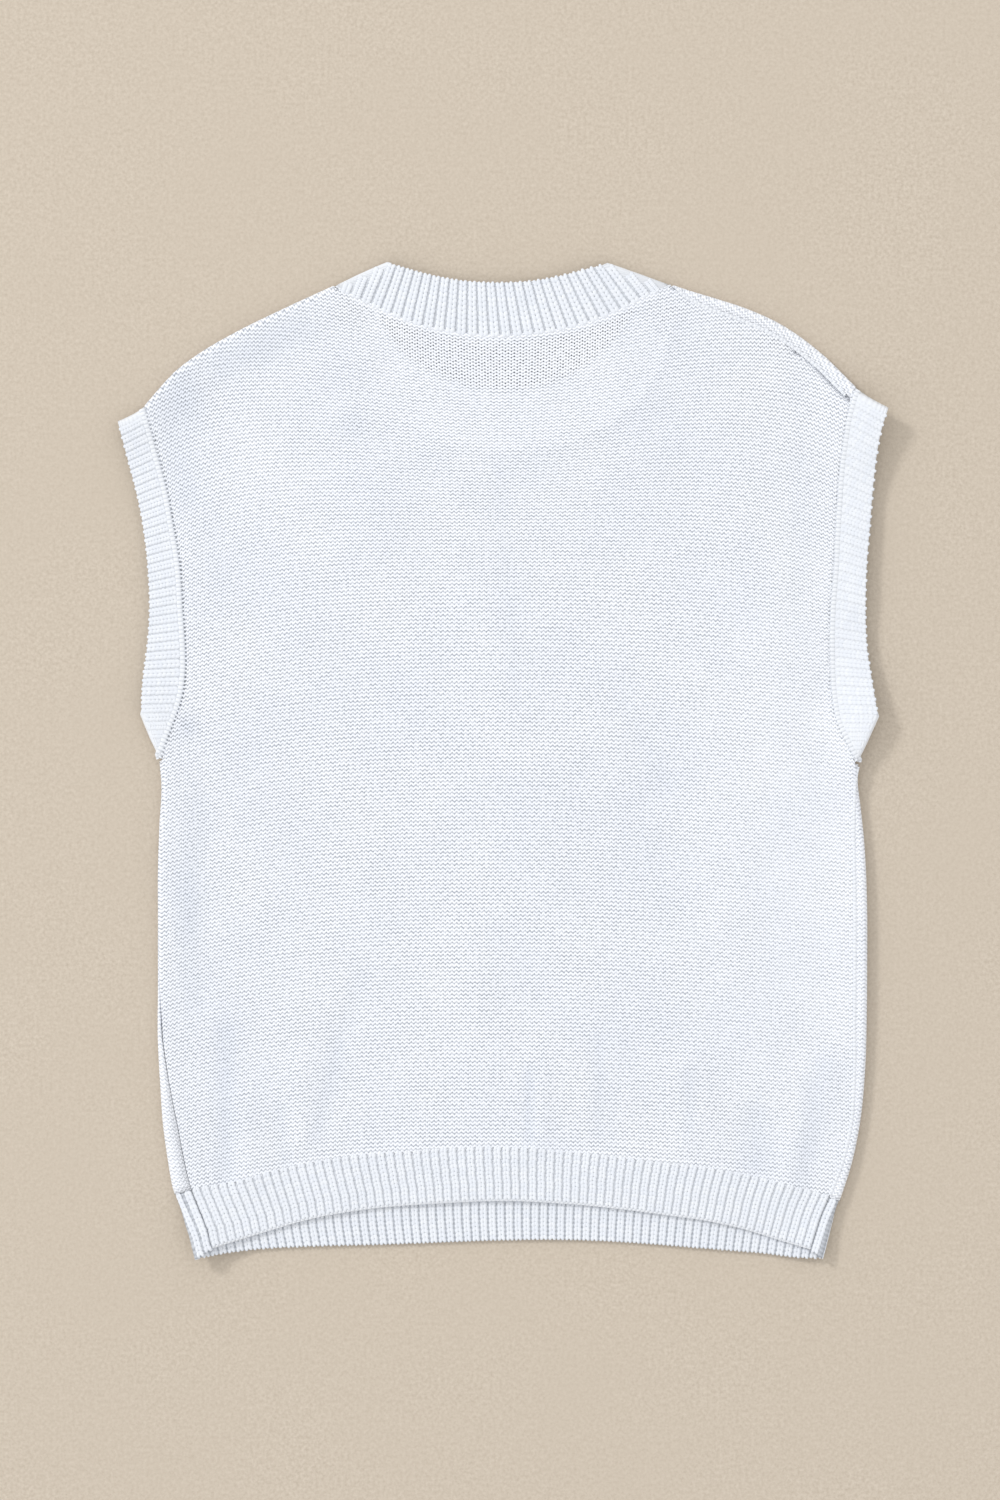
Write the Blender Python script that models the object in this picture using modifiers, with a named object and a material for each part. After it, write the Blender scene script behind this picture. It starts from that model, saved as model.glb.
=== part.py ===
"""Knitted sweater vest, laid flat on a table with its back up.

Two layers of knitted cloth lie on each other: the front below, the back above. They are joined
round the closed edges (sides, shoulders and the ends of the bands) by soft folds. Every piece is
made as its inner face, an open surface, and Solidify gives it the cloth's thickness outwards, so
ribs stand up on the outer face over a plain inner one.

Lengths are in millimetres until a mesh is made; the meshes are in metres. +Y points to the neck,
+Z up, and the origin is under the middle of the garment on the table.
"""

import math

import bmesh
import bpy
import numpy as np

MM = 0.001

# Cloth
WALL = 2.0              # thickness of the knit
SEAM_GAP = 0.3          # between two pieces that are sewn together
FOLD_EASE = 0.85        # more on each side, where a seam runs over a fold
EASE_WIDTH = 6.0        # and how far in from the fold that ends
RIB_RISE = 0.7          # ribs above the valleys between them
CLOTH_COLOUR = (0.89, 0.91, 0.95, 1.0)
CLOTH_ROUGHNESS = 0.9

# Layers
FOLD_RADIUS = 1.5       # inner face of the cloth round a closed edge
FOLD_CENTRE = WALL + FOLD_RADIUS
FOLD_SPAN = WALL + FOLD_RADIUS      # plan width that a fold takes up
SETTLE_WIDTH = 26.0     # in from a fold, where the upper layer comes down
OPEN_HEIGHT = 4.0       # inner face of the upper layer, clear of the lower one
LOWEST_UPPER = 3.1      # the upper layer never comes nearer the table than this

# Ribs: pitch of one knit and one purl wale, as a count round each band
BACK_HEM_RIBS = 72
FRONT_HEM_RIBS = 78
ARMHOLE_RIBS = 39.0
ARMHOLE_FOLD_RIBS = 5.5         # of those, the ones that end on the underarm fold
NECK_BACK_RIBS = 31.5
NECK_FRONT_RIBS = 39.0
NECK_FOLD_RIBS = 3.5            # the ones that cross each fold of the neckband
FIRST_RIB = 0.25                # where a band that narrows to a point is cut off
BACK_HEM_RISE = 4.0             # the back hem ends this much above the front one at the sides

# Grids
CURVE_STEP = 1.0
BAND_ROWS = (0.0, 0.5, 1.0)
FOLD_ROWS = 4
SIDE_ROWS = 10                  # of both panels, from hem to underarm
ARMHOLE_ROWS = 12
SHOULDER_COLUMNS = 6
NECK_COLUMNS = 16
CROWDING = 1.5                  # corners of a seam lie closer together near a fold
NECK_CROWDING = 2.1
OPEN_CROWDING = 1.3             # of the columns along an open edge
EDGE_DEPTH = 10.0               # strip along a panel's edge with its own columns
BACK_EDGE_COLUMNS = 3
FRONT_EDGE_COLUMNS = 5
FLAT_DENSITY = 0.12             # of those columns off the fold, against 1 round it
FOLD_TURNS = (50.0, 90.0)       # degrees, columns round an aligned fold
UNDERARM_AT = 0.55              # share of a panel's height at the underarm
NECK_AT = (0.27, 0.74)          # shares of a panel's width at the neck points

# Closed and open edges, from the hem up. strip is how far in from the fold the seam lies on
# the upper face: 0 puts it on the fold itself.
LEFT = {
    "inward": 1.0,
    #        x       y      strip
    "side": (
        (-209.0, -338.4, 14.0),
        (-213.0, -324.0, 14.0),
        (-216.5, -313.0, 13.0),
        (-224.0, -290.5, 12.0),
        (-227.5, -270.5, 11.0),
        (-230.5, -248.5, 10.0),
        (-232.5, -220.5, 6.5),
        (-234.0, -193.5, 4.0),
        (-234.0, -151.5, 1.0),
        (-234.0, -110.0, 0.0),
        (-234.0, -75.0, 0.0),
        (-233.0, -44.5, 0.0),
        (-231.8, -14.0, 0.0),
        (-233.5, -1.0, 0.0),
    ),
    "hem_seam": (-222.5, -295.0),
    "underarm": (-233.5, -1.0),
    "underarm_fold": ((-240.5, 15.5), (-246.5, 30.5)),
    "armhole_edge": (
        (-244.0, 52.5), (-241.0, 77.0), (-239.5, 101.0), (-241.2, 137.0), (-244.0, 159.5),
        (-248.0, 180.0), (-253.5, 201.0),
    ),
    "armhole_seam": (
        (-227.5, 12.0), (-222.0, 27.0), (-217.0, 41.0), (-214.5, 57.0), (-214.5, 80.0),
        (-216.0, 101.0), (-218.5, 136.5), (-222.5, 159.5), (-226.5, 181.0), (-231.5, 201.0),
        (-236.5, 219.0),
    ),
    "cap_tip": (-261.2, 230.0),
    "shoulder_point": (-243.5, 240.0),
    #        x       y      strip
    "shoulder": (
        (-243.5, 240.0, 0.0),
        (-236.0, 248.5, 0.0),
        (-223.5, 262.5, 0.0),
        (-206.5, 275.5, 0.0),
        (-183.5, 289.0, 0.0),
        (-148.0, 306.5, 0.0),
        (-114.5, 322.0, 0.0),
    ),
    "neck_point": (-114.5, 322.0),
    "neck_fold": ((-97.0, 330.5), (-78.5, 338.6)),
}

RIGHT = {
    "inward": -1.0,
    #        x       y      strip
    "side": (
        (217.5, -338.4, 10.0),
        (221.0, -325.5, 9.5),
        (224.5, -313.0, 9.0),
        (228.0, -302.5, 8.0),
        (237.5, -273.0, 6.5),
        (242.5, -248.5, 6.0),
        (246.3, -209.0, 7.5),
        (247.2, -179.0, 8.5),
        (247.5, -137.5, 8.5),
        (247.5, -103.0, 8.5),
        (246.7, -75.0, 8.0),
        (245.2, -51.5, 7.0),
        (243.0, -31.0, 4.5),
        (241.0, -14.0, 1.5),
        (241.8, -3.0, 0.0),
    ),
    "hem_seam": (229.0, -300.0),
    "underarm": (241.8, -3.0),
    "underarm_fold": ((248.0, 12.0), (255.5, 29.0)),
    "armhole_edge": (
        (250.3, 52.5), (247.3, 73.0), (246.0, 101.0), (247.0, 135.5), (249.0, 159.0),
        (251.3, 186.5), (253.5, 207.5), (256.8, 225.5),
    ),
    "armhole_seam": (
        (233.0, 11.5), (226.5, 26.0), (223.0, 45.0), (221.5, 69.0), (222.0, 101.0),
        (224.5, 135.5), (226.0, 166.5), (228.0, 193.5), (230.5, 214.5), (234.0, 235.5),
    ),
    "cap_tip": (261.2, 238.5),
    "shoulder_point": (239.8, 252.0),
    #        x      y      strip
    "shoulder": (
        (239.8, 252.0, 9.0),
        (232.0, 260.0, 9.0),
        (219.0, 273.5, 9.0),
        (205.0, 285.0, 9.0),
        (190.0, 295.0, 9.0),
        (167.5, 305.5, 9.0),
        (144.0, 313.3, 8.5),
        (126.0, 318.8, 5.5),
        (115.5, 322.3, 0.0),
    ),
    "neck_point": (115.5, 322.3),
    "neck_fold": ((93.0, 330.5), (71.5, 338.0)),
}

# Across the garment, from left to right, between the points of the two sides
NECK_BACK_EDGE = (
    (-66.5, 333.5), (-46.0, 328.0), (-25.5, 324.6), (-3.0, 323.5), (18.5, 324.6), (39.0, 328.0),
    (56.0, 332.5),
)
NECK_BACK_SEAM = (
    (-101.5, 315.5), (-78.5, 304.5), (-55.0, 295.5), (-31.0, 290.5), (-2.0, 288.5),
    (23.0, 290.0), (47.0, 294.5), (70.0, 302.0), (86.0, 309.5), (102.0, 317.5),
)
NECK_FRONT_EDGE = (
    (-75.5, 322.0), (-68.0, 300.0), (-50.0, 272.0), (-29.0, 256.0), (-5.0, 249.5), (20.0, 255.0),
    (42.0, 272.5), (59.0, 300.0), (68.0, 322.0),
)
NECK_FRONT_SEAM = (
    (-106.5, 311.0), (-99.0, 297.0), (-87.0, 272.0), (-72.0, 245.0), (-44.0, 221.0),
    (-5.0, 212.0), (36.0, 219.5), (68.0, 243.0), (86.0, 270.0), (99.0, 297.0), (107.0, 312.0),
)
BACK_HEM_SEAM = (
    (-184.0, -288.0), (-156.0, -280.5), (-128.0, -274.0), (-101.0, -270.0), (-73.0, -267.5),
    (-37.0, -265.0), (1.5, -264.0), (44.5, -267.0), (91.0, -272.5), (151.5, -280.0),
    (188.0, -288.0),
)
BACK_HEM_EDGE = (
    (-176.0, -325.0), (-156.0, -319.0), (-135.5, -313.0), (-114.5, -308.5), (-86.5, -304.5),
    (-41.0, -301.0), (1.5, -299.5), (44.5, -301.5), (80.0, -305.0), (114.5, -309.5),
    (139.0, -313.0), (163.5, -318.5), (188.0, -326.0),
)
FRONT_HEM_SEAM = ((-150.0, -291.0), (0.0, -288.0), (150.0, -293.0))
FRONT_HEM_EDGE = (
    (-197.5, -336.0), (-167.5, -332.5), (-128.0, -330.3), (-86.5, -329.3), (-37.0, -327.5),
    (1.5, -326.2), (62.0, -326.5), (103.0, -329.0), (139.0, -332.0), (176.0, -335.0),
    (205.0, -338.0),
)

# Soft creases of the upper layer: a line on the cloth, half width, and height (less than 0
# is a trough)
CREASES = (
    # x0      y0      x1      y1     width  height
    (-196.0, -196.0, -194.0, -272.0, 11.0, -0.8),
    (-176.0, -232.0, -170.0, -280.0, 13.0, 1.3),
    (-138.0, -206.0, -137.0, -256.0, 12.0, 1.1),
    (21.0, -206.0, 22.0, -256.0, 12.0, 1.1),
    (125.0, -208.0, 128.0, -258.0, 12.0, 0.9),
    (172.0, -240.0, 174.0, -276.0, 11.0, -0.6),
    (212.0, -222.0, 207.0, -268.0, 9.0, -0.7),
    (224.0, -205.0, 196.0, -284.0, 10.0, 1.6),
    (-226.0, 236.0, -214.0, 178.0, 12.0, -0.8),
    (-190.0, 266.0, -140.0, 290.0, 13.0, -0.7),
    (-150.0, 70.0, -60.0, 190.0, 34.0, 0.9),
    (30.0, -60.0, -20.0, 150.0, 40.0, 0.8),
    (150.0, -120.0, 190.0, 60.0, 34.0, 0.9),
)

# Edges that stand clear of the table: centre, reach each way, and height
LIFTS = (
    # x       y      reach_x reach_y height
    (263.0, 243.0, 62.0, 78.0, 11.0),
    (257.0, 24.0, 52.0, 62.0, 8.5),
    (249.0, 130.0, 44.0, 110.0, 3.5),
    (249.0, -120.0, 34.0, 150.0, 1.5),
    (-262.0, 232.0, 42.0, 50.0, 3.0),
    (-248.0, 28.0, 34.0, 44.0, 2.0),
    (-211.0, -341.0, 52.0, 52.0, 5.0),
    (219.0, -341.0, 42.0, 46.0, 3.0),
)

UP, DOWN = 1.0, -1.0
SAME = 1e-9             # two shares or angles closer than this are the same
SAME_PLACE = 0.01       # two points closer than this, in millimetres, become one
RIB_STEP = 0.5          # from a ridge to a valley, in ribs
SAMPLES = 200           # of a curve or path that is divided up again


# Curves in the plan

def smooth_curve(rows):
    """Closely spaced points of a smooth curve through the x and y of a table's rows."""
    knots = np.array([row[:2] for row in rows], float)
    if len(knots) == 2:
        count = max(2, int(math.dist(*knots) / CURVE_STEP) + 1)
        return np.linspace(knots[0], knots[1], count)
    spans = np.linalg.norm(np.diff(knots, axis=0), axis=1)
    slopes = np.diff(knots, axis=0) / spans[:, None]
    tangents = np.empty_like(knots)
    weight = spans[:-1, None] / (spans[:-1, None] + spans[1:, None])
    tangents[1:-1] = slopes[:-1] * (1 - weight) + slopes[1:] * weight
    tangents[0] = 1.5 * slopes[0] - 0.5 * tangents[1]
    tangents[-1] = 1.5 * slopes[-1] - 0.5 * tangents[-2]
    points = [knots[:1]]
    for start, end, go, leave, span in zip(knots, knots[1:], tangents, tangents[1:], spans):
        t = np.linspace(0, 1, max(2, int(span / CURVE_STEP) + 1))[1:, None]
        points.append((2 * t**3 - 3 * t**2 + 1) * start + (t**3 - 2 * t**2 + t) * span * go
                      + (3 * t**2 - 2 * t**3) * end + (t**3 - t**2) * span * leave)
    return np.vstack(points)


def distances(curve):
    """Distance along a curve of each of its points."""
    return np.concatenate([[0.0], np.cumsum(np.linalg.norm(np.diff(curve, axis=0), axis=1))])


def length(curve):
    return distances(curve)[-1]


def walk(curve, distance):
    """Points at given distances along a curve."""
    run = distances(curve)
    return np.stack([np.interp(distance, run, curve[:, axis]) for axis in (0, 1)], axis=-1)


def nearest(curve, point):
    """Distance along a curve of its point nearest to another point."""
    return distances(curve)[np.argmin(np.linalg.norm(curve - np.array(point), axis=1))]


def stretch(curve, start, end):
    """The part of a curve between two distances along it."""
    count = max(3, int(abs(end - start) / CURVE_STEP) + 1)
    return walk(curve, np.linspace(start, end, count))


def inset(curve, depth, inward):
    """A curve moved sideways into the garment by a depth, which may differ along it."""
    direction = np.gradient(curve, axis=0)
    direction /= np.linalg.norm(direction, axis=1)[:, None]
    normal = np.stack([direction[:, 1], -direction[:, 0]], axis=1) * inward
    return curve + normal * np.broadcast_to(depth, len(curve))[:, None]


def smooth_step(value):
    value = np.clip(value, 0.0, 1.0)
    return value * value * (3.0 - 2.0 * value)


# The folds along the closed edges

def side_curves(side):
    """The two closed stretches of one side, and where the pieces meet along them."""
    lower_rows = side["side"] + side["underarm_fold"]
    upper_rows = (side["cap_tip"],) + side["shoulder"] + side["neck_fold"]
    lower, upper = smooth_curve(lower_rows), smooth_curve(upper_rows)
    curves = dict(side, lower=lower, upper=upper)
    curves["hem_at"] = nearest(lower, side["hem_seam"])
    curves["underarm_at"] = nearest(lower, side["underarm"])
    curves["shoulder_at"] = nearest(upper, side["shoulder_point"])
    curves["neck_at"] = nearest(upper, side["neck_point"])
    for name, rows, curve in (("lower_strip", side["side"], lower),
                              ("upper_strip", side["shoulder"], upper)):
        at = [nearest(curve, row[:2]) for row in rows]
        curves[name] = (at, [row[2] for row in rows])
    return curves


SIDES = {"left": side_curves(LEFT), "right": side_curves(RIGHT)}
CLOSED_EDGES = [side[part] for side in SIDES.values() for part in ("lower", "upper")]


def fold_depth(points):
    """Distance in the plan from the nearest closed edge."""
    nearest_yet = np.full(points.shape[:-1], np.inf)
    for edge in CLOSED_EDGES:
        starts, steps = edge[:-1], np.diff(edge, axis=0)
        away = points[..., None, :] - starts
        share = np.clip((away * steps).sum(-1) / (steps**2).sum(-1), 0.0, 1.0)
        gap = np.linalg.norm(away - share[..., None] * steps, axis=-1).min(-1)
        nearest_yet = np.minimum(nearest_yet, gap)
    return nearest_yet


def fold_point(path):
    """Depth in the plan and turn in radians, at a path length from the fold's crown."""
    quarter = FOLD_RADIUS * math.pi / 2
    path = np.abs(path)
    turn = np.minimum(path / FOLD_RADIUS, math.pi / 2)
    depth = WALL + FOLD_RADIUS * (1 - np.cos(turn)) + np.maximum(path - quarter, 0.0)
    return depth, turn


def strip_path(strip):
    """Path length along the inner face from the fold's crown to a seam on the upper face."""
    turn = np.arccos(1 - np.minimum(strip / FOLD_SPAN, 1.0))
    return FOLD_RADIUS * turn + np.maximum(strip - FOLD_SPAN, 0.0)


# Heights

def creases(points):
    total = np.zeros(points.shape[:-1])
    for x0, y0, x1, y1, width, height in CREASES:
        start, step = np.array([x0, y0]), np.array([x1 - x0, y1 - y0])
        share = ((points - start) * step).sum(-1) / (step**2).sum()
        foot = start + np.clip(share, 0.0, 1.0)[..., None] * step
        away = np.linalg.norm(points - foot, axis=-1)
        total += height * np.exp(-(away / width) ** 2)
    return total


def lift(points):
    total = np.zeros(points.shape[:-1])
    for x, y, reach_x, reach_y, height in LIFTS:
        away = np.hypot((points[..., 0] - x) / reach_x, (points[..., 1] - y) / reach_y)
        total += height * smooth_step(1.0 - away)
    return total


def inner_face(points, layer, turn=None):
    """Points of the cloth's inner face over points of the plan, on the layer UP or DOWN.

    turn is the angle round a fold, where it is known; elsewhere it follows from the depth.
    """
    depth = fold_depth(points)
    share = 1.0 - np.clip((depth - WALL) / FOLD_RADIUS, 0.0, 1.0)
    rise = FOLD_RADIUS * np.sqrt(1.0 - share**2)
    if turn is not None:
        rise = np.where(np.isnan(turn), rise, FOLD_RADIUS * np.sin(turn))
    settled = smooth_step((depth - FOLD_SPAN) / SETTLE_WIDTH)
    crown = FOLD_CENTRE + FOLD_RADIUS
    upper = FOLD_CENTRE + rise + settled * (OPEN_HEIGHT - crown + creases(points))
    upper = np.where(settled > 0, np.maximum(upper, LOWEST_UPPER), upper)
    height = np.where(np.asarray(layer) > 0, upper, FOLD_CENTRE - rise) + lift(points)
    return np.concatenate([points, height[..., None]], axis=-1)


# Meshes

def knit_material(name):
    material = bpy.data.materials.new(name)
    material.use_nodes = True
    shader = material.node_tree.nodes["Principled BSDF"]
    shader.inputs["Base Color"].default_value = CLOTH_COLOUR
    shader.inputs["Roughness"].default_value = CLOTH_ROUGHNESS
    shader.inputs["Metallic"].default_value = 0.0
    return material


def cloth(name, sheets, collection):
    """One piece of cloth from the grids of its inner face.

    Each sheet is (points, ridge, winding): a grid of points, how far each one's outer face
    stands up as a rib, from 0 to 1, and UP or DOWN for the order of the corners that puts
    the outer face outside.
    """
    mesh = bpy.data.meshes.new(name)
    shape = bmesh.new()
    weights = shape.verts.layers.deform.verify()
    thickest = WALL + RIB_RISE
    for points, ridge, winding in sheets:
        corners = np.empty(points.shape[:2], dtype=object)
        for row, column in np.ndindex(corners.shape):
            vert = shape.verts.new(points[row, column] * MM)
            vert[weights][0] = (WALL + RIB_RISE * float(ridge[row, column])) / thickest
            corners[row, column] = vert
        for row, column in np.ndindex(corners.shape[0] - 1, corners.shape[1] - 1):
            loop = [corners[row, column], corners[row, column + 1],
                    corners[row + 1, column + 1], corners[row + 1, column]]
            shape.faces.new(loop if winding > 0 else loop[::-1])
    bmesh.ops.remove_doubles(shape, verts=shape.verts[:], dist=SAME_PLACE * MM)
    shape.to_mesh(mesh)
    shape.free()
    mesh.materials.append(knit_material(name + "_knit"))
    piece = bpy.data.objects.new(name, mesh)
    collection.objects.link(piece)
    piece.vertex_groups.new(name="thickness")
    wall = piece.modifiers.new("cloth", "SOLIDIFY")
    wall.thickness = thickest * MM
    wall.offset = 1.0
    wall.vertex_group = "thickness"
    return piece


def plain(points):
    return np.zeros(points.shape[:2])


# Seams, as chords that the pieces on both sides of them share

def crown_point(side, part, at):
    """Point on the crown of a fold, nearest to a place along the closed edge."""
    crown = inset(side[part], WALL, side["inward"])
    return walk(crown, nearest(crown, walk(side[part], side[at])))


def crowded(count):
    """Shares of a curve at its corners, closer together near its start."""
    return np.linspace(0, 1, count + 1) ** CROWDING


def crowded_twice(count):
    """The same, closer together near both ends."""
    half = np.linspace(0, 1, count // 2 + 1) ** NECK_CROWDING / 2
    return np.concatenate([half, 1 - half[-2::-1]])


def chords(rows, start, end, shares):
    """The corners of a seam: a smooth curve through a table's rows, cut into chords."""
    curve = smooth_curve((tuple(start),) + rows + (tuple(end),))
    return walk(curve, shares * length(curve))


def beside(seam, sign):
    """A seam's own edge on one side of it: half the gap away, and more over a fold."""
    over_fold = 1.0 - smooth_step((fold_depth(seam) - WALL) / EASE_WIDTH)
    return sign * (SEAM_GAP / 2 + FOLD_EASE * over_fold)


def armhole_seam(side):
    """Where band and panel meet, from the underarm to the shoulder."""
    start = crown_point(side, "lower", "underarm_at")
    end = crown_point(side, "upper", "shoulder_at")
    return chords(side["armhole_seam"], start, end, crowded(ARMHOLE_ROWS))


def neck_seam(rows):
    start, end = (crown_point(side, "upper", "neck_at") for side in SIDES.values())
    return chords(rows, start, end, crowded_twice(NECK_COLUMNS))


# Panels

def edge_paths(start, end, count):
    """Path lengths from the crown of a fold, closer together where the cloth turns."""
    quarter = FOLD_RADIUS * math.pi / 2
    fine = np.linspace(start, end, SAMPLES)
    density = np.where(np.abs(fine) <= quarter, 1.0, FLAT_DENSITY)
    run = np.concatenate([[0.0], np.cumsum((density[1:] + density[:-1]) / 2)])
    return np.interp(np.linspace(0, run[-1], count + 1), run, fine)


def fold_station(side, part, at, layer, count=1):
    """One row or column of a panel where it runs over a closed edge.

    Returns the point of the panel's outline and the way in from it, then for each point of
    the row its depth beyond the outline, its layer, its turn round the fold, and how firmly
    it is held to that line.
    """
    seam = strip_path(np.interp(at, *side[part + "_strip"]))
    first, last = ((seam + SEAM_GAP / 2, seam + EDGE_DEPTH) if layer > 0
                   else (seam - SEAM_GAP / 2, -EDGE_DEPTH))
    paths = edge_paths(first, last, count)
    depth, turn = fold_point(paths)
    base = depth[0] if layer > 0 else WALL
    ahead, behind = walk(side[part], at + CURVE_STEP), walk(side[part], at - CURVE_STEP)
    along = (ahead - behind) / np.linalg.norm(ahead - behind)
    way_in = np.array([along[1], -along[0]]) * side["inward"]
    away = (paths - first) if layer > 0 else -paths - FOLD_RADIUS * math.pi / 2
    held = 1.0 - smooth_step(away / (EDGE_DEPTH - FOLD_SPAN))
    turn = np.where(turn >= math.pi / 2 - SAME, np.nan, turn)
    outline = walk(side[part], at) + way_in * base
    return (outline, way_in), (depth - base, np.sign(paths + SAME), turn, held)


def open_depths(count):
    """Depths of the same points along an open edge, where the cloth lies flat."""
    return EDGE_DEPTH * np.linspace(0, 1, count + 1) ** OPEN_CROWDING


def panel_boundary(side, layer):
    """Corners of a panel's outline up one side: hem to underarm, underarm to shoulder."""
    stations = np.linspace(side["hem_at"], side["underarm_at"], SIDE_ROWS + 1)
    lower = np.array([fold_station(side, "lower", at, layer)[0][0] for at in stations])
    seam = armhole_seam(side)
    seam = inset(seam, beside(seam, 1), side["inward"])
    if layer > 0:
        strip = np.interp(side["shoulder_at"], *side["upper_strip"])
        stop = fold_point(strip_path(strip) + SEAM_GAP / 2)[0]
        last = stretch(seam, length(seam) - 2 * EDGE_DEPTH, length(seam))
        deep = fold_depth(last) >= stop
        seam[-1] = last[np.nonzero(deep)[0][-1]]
    lower[-1] = seam[0]
    lower[0, 1] += SEAM_GAP / 2
    return lower, seam


def shoulder_station(side, out):
    return side["shoulder_at"] + out * (side["neck_at"] - side["shoulder_at"])


def panel_top(neck_rows, layer, ends):
    """Corners of a panel's outline across its top: left shoulder, neck, right shoulder."""
    neck = neck_seam(neck_rows)
    neck = inset(neck, beside(neck, 1), 1.0)
    shares = 1 - crowded(SHOULDER_COLUMNS)[::-1]
    shoulders = [np.array([fold_station(side, "upper", at, layer)[0][0]
                           for at in shoulder_station(side, shares)])
                 for side in SIDES.values()]
    left, right = shoulders[0], shoulders[1][::-1]
    left[0], left[-1] = ends[0], neck[0]
    right[0], right[-1] = neck[-1], ends[1]
    return left, neck, right


def spread(low, high, shares):
    return low + (high - low) * shares


def joined(shares, curves):
    """One function of a share from 0 to 1 over outlines that follow each other."""
    corners, shares = np.vstack(curves), np.concatenate(shares)

    def at(share):
        return np.stack([np.interp(share, shares, corners[:, axis]) for axis in (0, 1)], -1)

    return at


def coons(bottom, top, left, right, u, v):
    """Points of the plan inside four boundary curves."""
    zero, one = np.zeros_like(u), np.ones_like(u)
    across, up = u[..., None], v[..., None]
    corners = ((1 - across) * (1 - up) * bottom(zero) + across * (1 - up) * bottom(one)
               + (1 - across) * up * top(zero) + across * up * top(one))
    return ((1 - up) * bottom(u) + up * top(u) + (1 - across) * left(v) + across * right(v)
            - corners)


def span_at(one, other, share):
    """Distance between two boundaries at the same share along both."""
    return float(np.linalg.norm(one(np.array([share])) - other(np.array([share]))))


def panel(name, layer, neck_rows, hem_rows, edge_columns, collection):
    """Back or front panel, with extra rows and columns along its closed edges."""
    side_rows = np.linspace(0, UNDERARM_AT, SIDE_ROWS + 1)
    armhole_rows = spread(UNDERARM_AT, 1, crowded(ARMHOLE_ROWS))
    shoulder = crowded(SHOULDER_COLUMNS)
    columns = (spread(NECK_AT[0], 0, shoulder)[::-1],
               spread(*NECK_AT, crowded_twice(NECK_COLUMNS)),
               spread(NECK_AT[1], 1, shoulder))
    outlines = [panel_boundary(side, layer) for side in SIDES.values()]
    left, right = (joined((side_rows, armhole_rows), curves) for curves in outlines)
    top = joined(columns, panel_top(neck_rows, layer, [curves[1][-1] for curves in outlines]))
    hem = smooth_curve((tuple(outlines[0][0][0]),)
                       + tuple((x, y + SEAM_GAP / 2) for x, y in hem_rows)
                       + (tuple(outlines[1][0][0]),))
    bottom = joined((distances(hem) / length(hem),), (hem,))

    plain_rows = np.concatenate([side_rows, armhole_rows[1:-1]])
    plain_columns = np.concatenate([columns[0][1:], columns[1][1:], columns[2][1:-1]])
    edge = edge_columns + 1
    shape = (len(plain_rows) + edge, len(plain_columns) + 2 * edge)
    u, v = np.zeros(shape), np.zeros(shape)
    layers, turns, held = np.full(shape, layer), np.full(shape, np.nan), np.zeros(shape)
    places = np.zeros(shape + (2,))

    def follow(cells, side, part, at, outline_point, reverse):
        """Set the cells along a closed edge, and say how deep they go."""
        (_, way_in), row = fold_station(side, part, at, layer, edge_columns)
        depth, layers[cells], turns[cells], held[cells] = (
            item[::-1] if reverse else item for item in row)
        places[cells] = outline_point + way_in * depth[:, None]
        return depth

    for row in range(shape[0]):
        share = plain_rows[row] if row < len(plain_rows) else 1.0
        width = span_at(left, right, share)
        for name_of, outline, cells, reverse in (("left", left, np.s_[row, :edge], False),
                                                 ("right", right, np.s_[row, -edge:], True)):
            depth = open_depths(edge_columns)
            depth = depth[::-1] if reverse else depth
            if share <= UNDERARM_AT:
                side = SIDES[name_of]
                at = np.interp(share, (0, UNDERARM_AT), (side["hem_at"], side["underarm_at"]))
                depth = follow(cells, side, "lower", at, outline(share), reverse)
            u[cells] = 1 - depth / width if reverse else depth / width
        u[row, edge:-edge] = plain_columns
        v[row] = share

    for column in range(shape[1]):
        share = u[-1, column]
        height = span_at(top, bottom, share)
        cells = np.s_[-edge:, column]
        out = share / NECK_AT[0] if share < 0.5 else (1 - share) / (1 - NECK_AT[1])
        if out > 1 + SAME:
            depth = open_depths(edge_columns)[::-1]
        else:
            side = SIDES["left" if share < 0.5 else "right"]
            at = shoulder_station(side, out)
            depth = follow(cells, side, "upper", at, top(share), True)
            if min(column, shape[1] - 1 - column) < edge:
                held[cells] = 0.0
        v[cells] = 1 - depth / height

    plan = coons(bottom, top, left, right, u, v)
    plan += held[..., None] * (places - plan)
    points = inner_face(plan, layers, turns)
    return cloth(name, [(points, plain(points), layer)], collection)


# Hem bands

def hem_ends(side, layer, shares):
    """Where the rows of a hem band meet the side: on the crown, and on the seam."""
    at = side["hem_at"] * (1 - shares)
    crown = inset(side["lower"], WALL, side["inward"])
    crown_at = [nearest(crown, point) for point in walk(side["lower"], at)]
    on_crown = walk(crown, np.array(crown_at))
    gap = SEAM_GAP / 2 if layer > 0 else -SEAM_GAP / 2
    path = strip_path(np.interp(at, *side["lower_strip"])) + gap
    depth = fold_point(path)[0]
    normal = on_crown - walk(side["lower"], at)
    normal /= np.linalg.norm(normal, axis=1)[:, None]
    on_seam = walk(side["lower"], at + BACK_HEM_RISE * shares) + normal * depth[:, None]
    return on_crown, on_seam, path


def hem_rows(seam_rows, edge_rows, starts, ends, shares):
    """Curves across the garment, one for each row of a hem band."""
    seam = smooth_curve((tuple(starts[0]),) + seam_rows + (tuple(ends[0]),))
    edge = smooth_curve((tuple(starts[-1]),) + edge_rows + (tuple(ends[-1]),))
    samples = np.linspace(0, 1, SAMPLES)
    top, bottom = walk(seam, samples * length(seam)), walk(edge, samples * length(edge))
    ramp = samples[:, None]
    curves = []
    for share, start, end in zip(shares, starts, ends):
        curve = top * (1 - share) + bottom * share
        curve = curve + (1 - ramp) * (start - curve[0]) + ramp * (end - curve[-1])
        curve[:, 1] -= SEAM_GAP / 2 * (1 - share)
        curves.append(curve)
    return curves


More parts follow.
